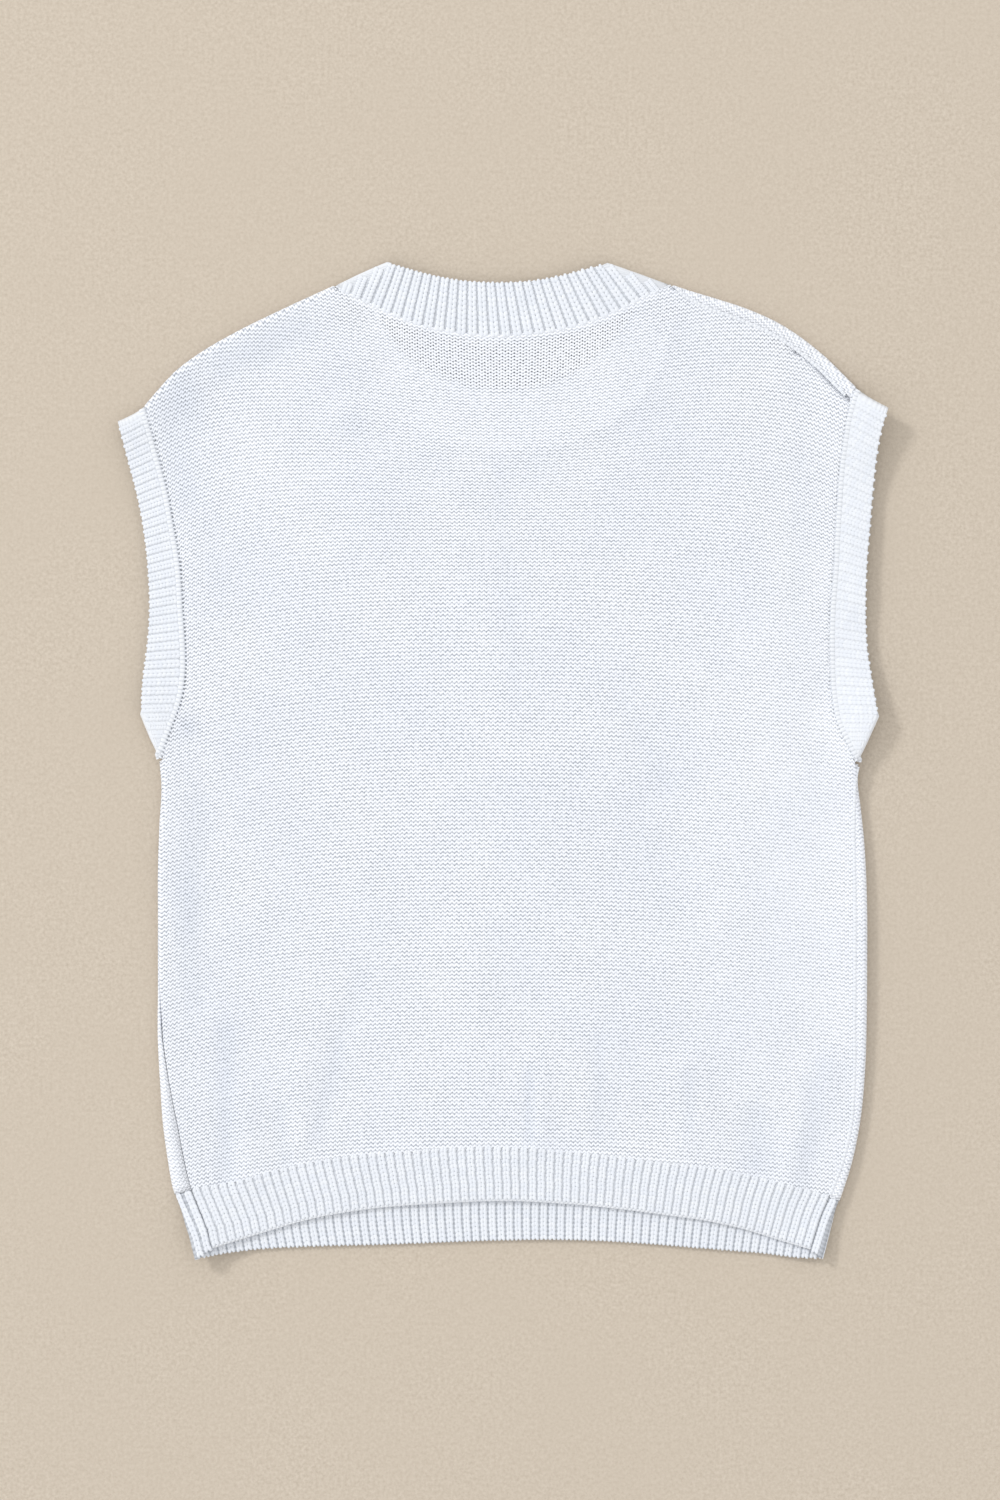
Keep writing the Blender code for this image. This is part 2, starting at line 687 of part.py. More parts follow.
def back_hem_rib(collection):
    shares = np.array(BAND_ROWS)
    starts, ends = (hem_ends(side, UP, shares)[1] for side in SIDES.values())
    curves = hem_rows(BACK_HEM_SEAM, BACK_HEM_EDGE, starts, ends, shares)
    steps = np.linspace(0, 1, 2 * BACK_HEM_RIBS + 1)
    plan = np.stack([walk(curve, steps * length(curve)) for curve in curves])
    points = inner_face(plan, UP)
    ridge = np.broadcast_to(np.arange(len(steps)) % 2, plan.shape[:2])
    return cloth("back_hem_rib", [(points[::-1], ridge[::-1], UP)], collection)


def front_hem_rib(collection):
    """The band below, with its two ends rolled round the sides onto the upper face.

    Its inner face looks up in the middle, where it shows below the back hem, so the ribs
    are raised there on that face, and on the outer face round the sides. The underside,
    which rests on the table, stays flat.
    """
    shares = np.array(BAND_ROWS)
    crown_l, seam_l, path_l = hem_ends(SIDES["left"], DOWN, shares)
    crown_r, seam_r, path_r = hem_ends(SIDES["right"], DOWN, shares)
    curves = hem_rows(FRONT_HEM_SEAM, FRONT_HEM_EDGE, crown_l, crown_r, shares)
    steps = np.linspace(0, 1, 2 * FRONT_HEM_RIBS + 1)
    slack = FOLD_RADIUS * (math.pi / 2 - 1)
    plan = np.zeros((len(shares), len(steps), 2))
    layers, turns = np.zeros(plan.shape[:2]), np.full(plan.shape[:2], np.nan)
    for row, curve in enumerate(curves):
        width = length(curve)
        total = path_l[row] + width + 2 * slack + path_r[row]
        for column, step in enumerate(steps * total):
            from_left = step <= total / 2
            path = (path_l[row] - step) if from_left else (path_r[row] - (total - step))
            crown, seam = ((crown_l, seam_l) if from_left else (crown_r, seam_r))
            own = path_l[row] if from_left else path_r[row]
            depth, turn = fold_point(path)
            if path > 0:
                share = (depth - WALL) / (fold_point(own)[0] - WALL)
                plan[row, column] = crown[row] + share * (seam[row] - crown[row])
                plan[row, column, 1] -= SEAM_GAP / 2 * (1 - shares[row])
            else:
                offset = depth - WALL
                plan[row, column] = walk(curve, offset if from_left else width - offset)
            layers[row, column] = UP if path > 0 else DOWN
            turns[row, column] = turn if turn < math.pi / 2 else np.nan
    points = inner_face(plan, layers, turns)
    ridge = np.broadcast_to(np.arange(len(steps)) % 2, plan.shape[:2]).astype(float)
    raised = (layers < 0) & np.isnan(turns)
    points[..., 2] += np.where(raised, ridge * RIB_RISE, 0.0)
    return cloth("front_hem_rib", [(points[::-1], ridge[::-1], DOWN)], collection)


# Folded rings: neckband and armhole bands

def ring_rows(outer, inner, folded):
    """Rows of points from an edge or fold to a seam, crowded where the cloth turns."""
    even = np.linspace(0, 1, FOLD_ROWS)
    depth = fold_depth(inner) - WALL
    if folded and depth > 2 * FOLD_RADIUS:
        turning = FOLD_RADIUS * (1 - np.cos(np.radians(FOLD_TURNS))) / depth
        even = np.array([0.0, *turning, 1.0])
    return outer + even[:, None] * (inner - outer)


def ring_half(outers, inners, folded, layer):
    """Inner face of one layer of a folded ring: a column for each pair of points."""
    grid = np.stack([ring_rows(o, i, f) for o, i, f in zip(outers, inners, folded)], axis=1)
    turns = np.full(grid.shape[:2], np.nan)
    turns[0, np.array(folded)] = 0.0
    return inner_face(grid, layer, turns)


def armhole_rib(name, collection):
    """A band folded flat: closed at the underarm and over the cap of the shoulder."""
    side = SIDES[name.split("_")[0]]
    inward = side["inward"]
    crown = inset(side["lower"], WALL, inward)
    fold_start = nearest(crown, walk(side["lower"], side["underarm_at"]))
    fold = stretch(crown, fold_start, length(crown))
    cap_turns = np.radians((0.0,) + FOLD_TURNS)
    cap = stretch(side["upper"], 0.0, side["shoulder_at"])
    cap_curves = [inset(cap, WALL + FOLD_RADIUS * (1 - math.cos(turn)), inward)
                  for turn in cap_turns]
    edge = smooth_curve((tuple(fold[-1]),) + side["armhole_edge"] + (tuple(cap_curves[0][0]),))
    seam = armhole_seam(side)
    seam = inset(seam, beside(seam, -1), inward)

    def outer_at(rib):
        if rib <= ARMHOLE_FOLD_RIBS:
            return walk(fold, rib / ARMHOLE_FOLD_RIBS * length(fold))
        share = (rib - ARMHOLE_FOLD_RIBS) / (ARMHOLE_RIBS - ARMHOLE_FOLD_RIBS)
        return walk(edge, share * length(edge))

    last = ARMHOLE_RIBS - 2 * RIB_STEP
    on_fold = [FIRST_RIB, *np.arange(RIB_STEP, ARMHOLE_FOLD_RIBS + SAME, RIB_STEP)]
    ribbed = on_fold + list(np.arange(ARMHOLE_FOLD_RIBS + RIB_STEP, last + SAME, RIB_STEP))
    corners = distances(seam) / length(seam) * ARMHOLE_RIBS
    coarse = on_fold + [rib for rib in corners if ARMHOLE_FOLD_RIBS < rib < last] + [last]
    sheets = []
    for layer, ribs in ((UP, ribbed), (DOWN, coarse)):
        outers = np.array([outer_at(rib) for rib in ribs])
        inners = walk(seam, np.array(ribs) / ARMHOLE_RIBS * length(seam))
        folded = [rib <= ARMHOLE_FOLD_RIBS for rib in ribs]
        columns = [ring_half(outers, inners, folded, layer)]
        for curve, turn in reversed(list(zip(cap_curves, cap_turns))):
            end = length(curve) - SEAM_GAP / 2 - FOLD_EASE
            row = walk(curve, np.linspace(0, end, FOLD_ROWS))
            columns.append(inner_face(row, layer, np.full(FOLD_ROWS, turn))[:, None])
        points = np.concatenate(columns, axis=1)
        ridge = np.zeros(points.shape[1])
        if layer > 0:
            ridge[:len(ribs)] = [rib / RIB_STEP % 2 == 1 for rib in ribs]
        sheets.append((points, np.broadcast_to(ridge, points.shape[:2]), -layer * inward))
    return cloth(name, sheets, collection)


def neck_rib(collection):
    """The neckband: back half above from ear to ear, front half below."""
    folds = []
    for side in SIDES.values():
        crown = inset(side["upper"], WALL, side["inward"])
        start = nearest(crown, walk(side["upper"], side["neck_at"]))
        folds.append(stretch(crown, start, length(crown)))
    back_seam, front_seam = (inset(seam, beside(seam, -1), 1.0)
                             for seam in map(neck_seam, (NECK_BACK_SEAM, NECK_FRONT_SEAM)))
    ears = [tuple(fold[-1]) for fold in folds]
    back_edge = smooth_curve((ears[0],) + NECK_BACK_EDGE + (ears[1],))
    front_edge = smooth_curve((ears[0],) + NECK_FRONT_EDGE + (ears[1],))
    fold_ribs = [FIRST_RIB, *np.arange(RIB_STEP, NECK_FOLD_RIBS + SAME, RIB_STEP)]

    def fold_at(which, rib):
        return walk(folds[which], rib / NECK_FOLD_RIBS * length(folds[which]))

    def back_outer(rib):
        from_end = NECK_BACK_RIBS - rib
        if rib <= NECK_FOLD_RIBS:
            return fold_at(0, rib)
        if from_end <= NECK_FOLD_RIBS:
            return fold_at(1, from_end)
        share = (rib - NECK_FOLD_RIBS) / (NECK_BACK_RIBS - 2 * NECK_FOLD_RIBS)
        return walk(back_edge, share * length(back_edge))

    def front_edge_at(rib):
        return walk(front_edge, rib / NECK_FRONT_RIBS * length(front_edge))

    middle = np.arange(NECK_FOLD_RIBS + RIB_STEP, NECK_BACK_RIBS - NECK_FOLD_RIBS, RIB_STEP)
    ribs = fold_ribs + list(middle) + [NECK_BACK_RIBS - rib for rib in reversed(fold_ribs)]
    outers = np.array([back_outer(rib) for rib in ribs])
    inners = walk(back_seam, np.array(ribs) / NECK_BACK_RIBS * length(back_seam))
    folded = [min(rib, NECK_BACK_RIBS - rib) <= NECK_FOLD_RIBS for rib in ribs]
    back = ring_half(outers, inners, folded, UP)
    ridge = np.array([float(rib / RIB_STEP % 2 == 0) for rib in ribs])

    span = NECK_FRONT_RIBS - 2 * NECK_FOLD_RIBS
    along = NECK_FOLD_RIBS + distances(front_seam) / length(front_seam) * span
    pairs = [(fold_at(0, rib), front_edge_at(NECK_FOLD_RIBS - rib))
             for rib in reversed(fold_ribs)]
    pairs += [(front_seam[corner], front_edge_at(along[corner]))
              for corner in range(1, NECK_COLUMNS)]
    pairs += [(fold_at(1, rib), front_edge_at(NECK_FRONT_RIBS - NECK_FOLD_RIBS + rib))
              for rib in fold_ribs]
    folded = [True] * len(fold_ribs) + [False] * (NECK_COLUMNS - 1) + [True] * len(fold_ribs)
    outers, inners = (np.array(points) for points in zip(*pairs))
    front = ring_half(outers, inners, folded, DOWN)
    return cloth("neck_rib", [(back, np.broadcast_to(ridge, back.shape[:2]), DOWN),
                              (front, plain(front), DOWN)], collection)


def build():
    for old in list(bpy.data.objects):
        bpy.data.objects.remove(old)
    collection = bpy.data.collections.new("knitted_sweater_vest")
    bpy.context.scene.collection.children.link(collection)
    panel("back_panel", UP, NECK_BACK_SEAM, BACK_HEM_SEAM, BACK_EDGE_COLUMNS, collection)
    panel("front_panel", DOWN, NECK_FRONT_SEAM, FRONT_HEM_SEAM, FRONT_EDGE_COLUMNS,
          collection)
    back_hem_rib(collection)
    front_hem_rib(collection)
    neck_rib(collection)
    armhole_rib("left_armhole_rib", collection)
    armhole_rib("right_armhole_rib", collection)


build()
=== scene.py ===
# %% [markdown]
# # A knitted sweater vest, laid flat with its back up
#
# The real thing is a white cotton vest, knitted on a machine of about seven needles to the inch.
# The body shows the purl face of plain knitting, and the neck, the armholes and the hem are
# finished with bands of one-by-one rib. Each band is knitted apart and linked on, stitch by
# stitch.
#
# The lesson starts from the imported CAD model, which fixes the size and the place of every piece.
# Each solid of it is then replaced by a piece of cloth with the knit's own detail. All lengths
# are written in millimetres, because a knitter counts in them, and turned to metres as a mesh is
# made.

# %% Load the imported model
import math

import bmesh
import bpy
import numpy as np
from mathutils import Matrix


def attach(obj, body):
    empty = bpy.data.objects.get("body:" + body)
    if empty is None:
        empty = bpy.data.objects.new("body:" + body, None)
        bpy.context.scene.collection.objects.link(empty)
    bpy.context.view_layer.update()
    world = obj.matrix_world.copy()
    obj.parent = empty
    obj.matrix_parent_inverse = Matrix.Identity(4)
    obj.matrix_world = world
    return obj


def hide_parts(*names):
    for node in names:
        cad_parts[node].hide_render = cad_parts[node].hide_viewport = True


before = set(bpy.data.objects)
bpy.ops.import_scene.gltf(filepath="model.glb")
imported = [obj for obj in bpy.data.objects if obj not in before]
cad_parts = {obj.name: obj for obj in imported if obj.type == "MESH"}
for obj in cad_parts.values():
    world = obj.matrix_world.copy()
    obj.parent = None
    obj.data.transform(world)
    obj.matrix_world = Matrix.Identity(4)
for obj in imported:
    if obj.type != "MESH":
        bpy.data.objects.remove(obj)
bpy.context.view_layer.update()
MM = 0.001

# %% [markdown]
# ## Where it is seen from
#
# A flat garment is looked at from straight above. The camera could be orthographic, but a real
# one stands a few metres up with a long lens, so a short telephoto is used, far enough away for
# the whole vest and a margin of paper to fit.

# %% Camera
VIEW_HEIGHT = 1020.0        # what the frame's long side takes in
VIEW_CENTRE = (-1.7, 6.5)
LENS, SENSOR = 85.0, 36.0

camera_data = bpy.data.cameras.new("camera_above")
camera_data.lens, camera_data.sensor_width = LENS, SENSOR
camera = bpy.data.objects.new("camera_above", camera_data)
camera.location = (VIEW_CENTRE[0] * MM, VIEW_CENTRE[1] * MM, VIEW_HEIGHT * MM * LENS / SENSOR)
bpy.context.scene.collection.objects.link(camera)
bpy.context.scene.camera = camera
print(f"camera {camera.location.z:.2f} m above the paper")

# %% [markdown]
# ## Soft studio light
#
# White knit is lit mostly from all round, by white walls and reflectors, or its stitches would
# cast hard black dots. One large lamp from the upper left, a third of the way up from the
# horizon, adds the direction that shows folds and throws the soft shadow along the right side.
# A world colour gives the light from all round, and an area lamp the direction.

# %% Light
ROOM_LIGHT = 0.945
LAMP_WATTS = 305.0
LAMP_SIDE = 1440.0
LAMP_AWAY = 9000.0
LAMP_FROM = (-0.66, 0.48, 0.57)

bpy.context.scene.view_settings.view_transform = "Standard"
world = bpy.data.worlds.new("studio")
bpy.context.scene.world = world
world.use_nodes = True
world.node_tree.nodes["Background"].inputs["Color"].default_value = (1.0, 1.0, 1.0, 1.0)
world.node_tree.nodes["Background"].inputs["Strength"].default_value = ROOM_LIGHT

lamp_data = bpy.data.lights.new("soft_lamp", "AREA")
lamp_data.energy, lamp_data.size = LAMP_WATTS, LAMP_SIDE * MM
lamp = bpy.data.objects.new("soft_lamp", lamp_data)
towards = np.array(LAMP_FROM) / np.linalg.norm(LAMP_FROM)
lamp.location = towards * LAMP_AWAY * MM
azimuth, steepness = math.atan2(towards[1], towards[0]), math.acos(towards[2])
lamp.rotation_euler = (0.0, steepness, azimuth)
bpy.context.scene.collection.objects.link(lamp)
print(f"lamp at {90 - math.degrees(steepness):.0f} degrees above the paper")

# %% [markdown]
# ## Nodes and colours
#
# Materials and Geometry Nodes trees are both graphs of nodes, so one small function that adds a
# node, with its settings and its links, serves for all of them. Colours are written as the sRGB
# hex values that a paint chart gives and turned to the linear numbers that Blender works in.

# %% Helpers for nodes and colours
def add(tree, kind, inputs=None, out=0, **settings):
    """Add a node and return one of its outputs; an input is a plain value or an output."""
    node = tree.nodes.new(kind)
    for key, value in settings.items():
        setattr(node, key, value)
    for key, value in (inputs or {}).items():
        if isinstance(value, bpy.types.NodeSocket):
            tree.links.new(value, node.inputs[key])
        else:
            node.inputs[key].default_value = value
    return node.outputs[out] if len(node.outputs) else node


def linear(hex_colour):
    """An sRGB hex colour as linear red, green, blue and alpha."""
    parts = [int(hex_colour[i:i + 2], 16) / 255 for i in (1, 3, 5)]
    return tuple(c / 12.92 if c <= 0.04045 else ((c + 0.055) / 1.055) ** 2.4
                 for c in parts) + (1.0,)


def new_material(name, roughness, shine, fuzz=0.0):
    """A material, its tree and its shader. fuzz is the pale bloom of loose fibres."""
    material = bpy.data.materials.new(name)
    material.use_nodes = True
    shader = material.node_tree.nodes["Principled BSDF"]
    finish = {"Roughness": roughness, "Specular IOR Level": shine}
    if fuzz:
        finish.update({"Sheen Weight": fuzz, "Sheen Roughness": FUZZ_SPREAD})
    for key, value in finish.items():
        shader.inputs[key].default_value = value
    return material, material.node_tree, shader


MATH = "ShaderNodeMath"
TURN = 2 * math.pi
FUZZ_SPREAD = 0.6
print("white cotton in linear numbers:", [round(c, 3) for c in linear("#F1F4F9")])

# %% [markdown]
# ## The paper below
#
# Thick beige paper has a fine, even tooth. It could be a flat colour, but then it would look
# like a hole in the picture, so a noise of about two millimetres moves both its colour and its
# surface a little. Uncoated paper is matt, so its roughness is high and the lamp leaves no
# gleam on it. It lies just below the vest, which rests on it.

# %% Paper
PAPER_SIDE = 6000.0
PAPER_GRAIN = 2.2           # one bump of the tooth
PAPER_BELOW = 0.3           # under the vest
PAPER_HOLLOW, PAPER_PEAK = linear("#A09280"), linear("#E5DACB")
PAPER_EVEN = linear("#C5B9A9")

def paper_material():
    material, tree, shader = new_material("uncoated_beige_paper", 0.95, 0.2)
    place = add(tree, "ShaderNodeTexCoord", out="Object")
    tooth = add(tree, "ShaderNodeTexNoise", {"Vector": place, "Scale": 1 / (PAPER_GRAIN * MM),
                                             "Detail": 3.0, "Roughness": 0.6})
    cloudy = add(tree, "ShaderNodeTexNoise", {"Vector": place, "Scale": 9.0, "Detail": 2.0})
    grain = add(tree, "ShaderNodeMix", {"Factor": tooth, 6: PAPER_HOLLOW, 7: PAPER_PEAK},
                out=2, data_type="RGBA")
    colour = add(tree, "ShaderNodeMix", {"Factor": cloudy, 6: grain, 7: PAPER_EVEN}, out=2,
                 data_type="RGBA")
    tree.links.new(colour, shader.inputs["Base Color"])
    bump = add(tree, "ShaderNodeBump", {"Height": tooth, "Strength": 0.7,
                                        "Distance": 0.4 * MM}, out="Normal")
    tree.links.new(bump, shader.inputs["Normal"])
    return material


half, low = PAPER_SIDE * MM / 2, -PAPER_BELOW * MM
paper_mesh = bpy.data.meshes.new("paper")
paper_mesh.from_pydata([(-half, -half, low), (half, -half, low), (half, half, low),
                        (-half, half, low)], [], [(0, 1, 2, 3)])
paper_mesh.materials.append(paper_material())
paper = bpy.data.objects.new("paper", paper_mesh)
bpy.context.scene.collection.objects.link(paper)
print("paper laid out,", PAPER_SIDE / 1000, "m square")

# %% [markdown]
# ## The lines of the vest
#
# A laid-out garment is drawn first as its lines on the table: the closed edges, where the cloth
# folds round from the front to the back, and the open edges and seams between them. Short
# tables of points, with a smooth curve through each, say it exactly and are easy to correct.
# They could be traced as Blender curve objects, but a table can also be measured and divided.
# In a side's rows the third number is how far in from the fold its seam lies on the upper face,
# because the front of the vest rolls round onto the back by that much.

# %% Lines of the left side
LEFT = {
    "inward": 1.0,
    #        x       y      strip
    "side": (
        (-209.0, -338.4, 14.0),
        (-213.0, -324.0, 14.0),
        (-216.5, -313.0, 13.0),
        (-224.0, -290.5, 12.0),
        (-227.5, -270.5, 11.0),
        (-230.5, -248.5, 10.0),
        (-232.5, -220.5, 6.5),
        (-234.0, -193.5, 4.0),
        (-234.0, -151.5, 1.0),
        (-234.0, -110.0, 0.0),
        (-234.0, -75.0, 0.0),
        (-233.0, -44.5, 0.0),
        (-231.8, -14.0, 0.0),
        (-233.5, -1.0, 0.0),
    ),
    "hem_seam": (-222.5, -295.0),
    "underarm": (-233.5, -1.0),
    "underarm_fold": ((-240.5, 15.5), (-246.5, 30.5)),
    "armhole_edge": (
        (-244.0, 52.5), (-241.0, 77.0), (-239.5, 101.0), (-241.2, 137.0), (-244.0, 159.5),
        (-248.0, 180.0), (-253.5, 201.0),
    ),
    "armhole_seam": (
        (-227.5, 12.0), (-222.0, 27.0), (-217.0, 41.0), (-214.5, 57.0), (-214.5, 80.0),
        (-216.0, 101.0), (-218.5, 136.5), (-222.5, 159.5), (-226.5, 181.0), (-231.5, 201.0),
        (-236.5, 219.0),
    ),
    "cap_tip": (-261.2, 230.0),
    "shoulder_point": (-243.5, 240.0),
    #        x       y      strip
    "shoulder": (
        (-243.5, 240.0, 0.0),
        (-236.0, 248.5, 0.0),
        (-223.5, 262.5, 0.0),
        (-206.5, 275.5, 0.0),
        (-183.5, 289.0, 0.0),
        (-148.0, 306.5, 0.0),
        (-114.5, 322.0, 0.0),
    ),
    "neck_point": (-114.5, 322.0),
    "neck_fold": ((-97.0, 330.5), (-78.5, 338.6)),
}
print(len(LEFT["side"]), "rows from the hem to the left underarm")

# %% [markdown]
# ## The right side
#
# The two sides are knitted alike, and on a hanger a mirrored table would do. Laid down by hand
# they differ: here the front rolls round onto the back along nearly the whole side and the
# shoulder. So the right side has a table of its own, with the same names.

# %% Lines of the right side
RIGHT = {
    "inward": -1.0,
    #        x       y      strip
    "side": (
        (217.5, -338.4, 10.0),
        (221.0, -325.5, 9.5),
        (224.5, -313.0, 9.0),
        (228.0, -302.5, 8.0),
        (237.5, -273.0, 6.5),
        (242.5, -248.5, 6.0),
        (246.3, -209.0, 7.5),
        (247.2, -179.0, 8.5),
        (247.5, -137.5, 8.5),
        (247.5, -103.0, 8.5),
        (246.7, -75.0, 8.0),
        (245.2, -51.5, 7.0),
        (243.0, -31.0, 4.5),
        (241.0, -14.0, 1.5),
        (241.8, -3.0, 0.0),
    ),
    "hem_seam": (229.0, -300.0),
    "underarm": (241.8, -3.0),
    "underarm_fold": ((248.0, 12.0), (255.5, 29.0)),
    "armhole_edge": (
        (250.3, 52.5), (247.3, 73.0), (246.0, 101.0), (247.0, 135.5), (249.0, 159.0),
        (251.3, 186.5), (253.5, 207.5), (256.8, 225.5),
    ),
    "armhole_seam": (
        (233.0, 11.5), (226.5, 26.0), (223.0, 45.0), (221.5, 69.0), (222.0, 101.0),
        (224.5, 135.5), (226.0, 166.5), (228.0, 193.5), (230.5, 214.5), (234.0, 235.5),
    ),
    "cap_tip": (261.2, 238.5),
    "shoulder_point": (239.8, 252.0),
    #        x      y      strip
    "shoulder": (
        (239.8, 252.0, 9.0),
        (232.0, 260.0, 9.0),
        (219.0, 273.5, 9.0),
        (205.0, 285.0, 9.0),
        (190.0, 295.0, 9.0),
        (167.5, 305.5, 9.0),
        (144.0, 313.3, 8.5),
        (126.0, 318.8, 5.5),
        (115.5, 322.3, 0.0),
    ),
    "neck_point": (115.5, 322.3),
    "neck_fold": ((93.0, 330.5), (71.5, 338.0)),
}
print(len(RIGHT["side"]), "rows from the hem to the right underarm")

# %% [markdown]
# ## Lines across the vest
#
# The neckband and the hem bands run from side to side, and each is a seam and a free edge. Their
# end points could be written here too, but they are taken from the two sides, so that nothing
# comes apart when a side is corrected.

# %% Lines across
NECK_BACK_EDGE = (
    (-66.5, 333.5), (-46.0, 328.0), (-25.5, 324.6), (-3.0, 323.5), (18.5, 324.6), (39.0, 328.0),
    (56.0, 332.5),
)
NECK_BACK_SEAM = (
    (-101.5, 315.5), (-78.5, 304.5), (-55.0, 295.5), (-31.0, 290.5), (-2.0, 288.5),
    (23.0, 290.0), (47.0, 294.5), (70.0, 302.0), (86.0, 309.5), (102.0, 317.5),
)
NECK_FRONT_EDGE = (
    (-75.5, 322.0), (-68.0, 300.0), (-50.0, 272.0), (-29.0, 256.0), (-5.0, 249.5), (20.0, 255.0),
    (42.0, 272.5), (59.0, 300.0), (68.0, 322.0),
)
NECK_FRONT_SEAM = (
    (-106.5, 311.0), (-99.0, 297.0), (-87.0, 272.0), (-72.0, 245.0), (-44.0, 221.0),
    (-5.0, 212.0), (36.0, 219.5), (68.0, 243.0), (86.0, 270.0), (99.0, 297.0), (107.0, 312.0),
)
BACK_HEM_SEAM = (
    (-184.0, -288.0), (-156.0, -280.5), (-128.0, -274.0), (-101.0, -270.0), (-73.0, -267.5),
    (-37.0, -265.0), (1.5, -264.0), (44.5, -267.0), (91.0, -272.5), (151.5, -280.0),
    (188.0, -288.0),
)
BACK_HEM_EDGE = (
    (-176.0, -325.0), (-156.0, -319.0), (-135.5, -313.0), (-114.5, -308.5), (-86.5, -304.5),
    (-41.0, -301.0), (1.5, -299.5), (44.5, -301.5), (80.0, -305.0), (114.5, -309.5),
    (139.0, -313.0), (163.5, -318.5), (188.0, -326.0),
)
FRONT_HEM_SEAM = ((-150.0, -291.0), (0.0, -288.0), (150.0, -293.0))
FRONT_HEM_EDGE = (
    (-197.5, -336.0), (-167.5, -332.5), (-128.0, -330.3), (-86.5, -329.3), (-37.0, -327.5),
    (1.5, -326.2), (62.0, -326.5), (103.0, -329.0), (139.0, -332.0), (176.0, -335.0),
    (205.0, -338.0),
)
print(len(BACK_HEM_SEAM), "points for the seam of the back hem")

# %% [markdown]
# ## Creases and raised edges
#
# Cloth that was smoothed by hand keeps soft creases, and its corners curl up from the table. A
# cloth simulation would find creases, but its own ones. So each is a row with its place, its
# size and its height.

# %% Creases and raised edges
# Soft creases of the upper layer: a line on the cloth, half width, and height (less than 0
# is a trough)
CREASES = (
    # x0      y0      x1      y1     width  height
    (-187.0, -186.0, -187.0, -284.0, 8.0, -0.8),
    (-176.0, -232.0, -170.0, -280.0, 13.0, 1.3),
    (-138.0, -206.0, -137.0, -256.0, 12.0, 1.1),
    (21.0, -206.0, 22.0, -256.0, 12.0, 1.1),
    (125.0, -208.0, 128.0, -258.0, 12.0, 0.9),
    (172.0, -240.0, 174.0, -276.0, 11.0, -0.6),
    (212.0, -222.0, 207.0, -268.0, 9.0, -0.7),
    (224.0, -205.0, 196.0, -284.0, 10.0, 1.6),
    (-226.0, 236.0, -214.0, 178.0, 12.0, -0.8),
    (-190.0, 266.0, -140.0, 290.0, 13.0, -0.7),
    (-150.0, 70.0, -60.0, 190.0, 34.0, 0.9),
    (30.0, -60.0, -20.0, 150.0, 40.0, 0.8),
    (150.0, -120.0, 190.0, 60.0, 34.0, 0.9),
)

# Edges that stand clear of the table: centre, reach each way, and height
LIFTS = (
    # x       y      reach_x reach_y height
    (263.0, 243.0, 62.0, 78.0, 11.0),
    (257.0, 24.0, 52.0, 62.0, 8.5),
    (249.0, 130.0, 44.0, 110.0, 3.5),
    (249.0, -120.0, 34.0, 150.0, 1.5),
    (-262.0, 232.0, 42.0, 50.0, 3.0),
    (-248.0, 28.0, 34.0, 44.0, 2.0),
    (-211.0, -341.0, 48.0, 48.0, 8.0),
    (219.0, -341.0, 42.0, 46.0, 3.0),
)
print(len(CREASES), "creases and", len(LIFTS), "raised edges")

# %% [markdown]
# ## Curves through the tables
#
# Each curve passes through its points with a tangent that weighs the two spans beside it, so
# short spans don't overshoot. The helpers below measure a curve, walk along it and move it
# sideways, as a pattern cutter would with a tape.

# %% Curves
CURVE_STEP = 1.0

def smooth_curve(rows):
    """Closely spaced points of a smooth curve through the x and y of a table's rows."""
    knots = np.array([row[:2] for row in rows], float)
    if len(knots) == 2:
        count = max(2, int(math.dist(*knots) / CURVE_STEP) + 1)
        return np.linspace(knots[0], knots[1], count)
    spans = np.linalg.norm(np.diff(knots, axis=0), axis=1)
    slopes = np.diff(knots, axis=0) / spans[:, None]
    tangents = np.empty_like(knots)
    weight = spans[:-1, None] / (spans[:-1, None] + spans[1:, None])
    tangents[1:-1] = slopes[:-1] * (1 - weight) + slopes[1:] * weight
    tangents[0] = 1.5 * slopes[0] - 0.5 * tangents[1]
    tangents[-1] = 1.5 * slopes[-1] - 0.5 * tangents[-2]
    points = [knots[:1]]
    for start, end, go, leave, span in zip(knots, knots[1:], tangents, tangents[1:], spans):
        t = np.linspace(0, 1, max(2, int(span / CURVE_STEP) + 1))[1:, None]
        points.append((2 * t**3 - 3 * t**2 + 1) * start + (t**3 - 2 * t**2 + t) * span * go
                      + (3 * t**2 - 2 * t**3) * end + (t**3 - t**2) * span * leave)
    return np.vstack(points)


def distances(curve):
    """Distance along a curve of each of its points."""
    return np.concatenate([[0.0], np.cumsum(np.linalg.norm(np.diff(curve, axis=0), axis=1))])


def length(curve):
    return distances(curve)[-1]


def walk(curve, distance):
    """Points at given distances along a curve."""
    run = distances(curve)
    return np.stack([np.interp(distance, run, curve[:, axis]) for axis in (0, 1)], axis=-1)


def nearest(curve, point):
    """Distance along a curve of its point nearest to another point."""
    return distances(curve)[np.argmin(np.linalg.norm(curve - np.array(point), axis=1))]


def stretch(curve, start, end):
    """The part of a curve between two distances along it."""
    count = max(3, int(abs(end - start) / CURVE_STEP) + 1)
    return walk(curve, np.linspace(start, end, count))


def inset(curve, depth, inward):
    """A curve moved sideways into the garment by a depth, which may differ along it."""
    direction = np.gradient(curve, axis=0)
    direction /= np.linalg.norm(direction, axis=1)[:, None]
    normal = np.stack([direction[:, 1], -direction[:, 0]], axis=1) * inward
    return curve + normal * np.broadcast_to(depth, len(curve))[:, None]


def smooth_step(value):
    value = np.clip(value, 0.0, 1.0)
    return value * value * (3.0 - 2.0 * value)


print(f"the back neck seam is {length(smooth_curve(NECK_BACK_SEAM)):.0f} mm long")

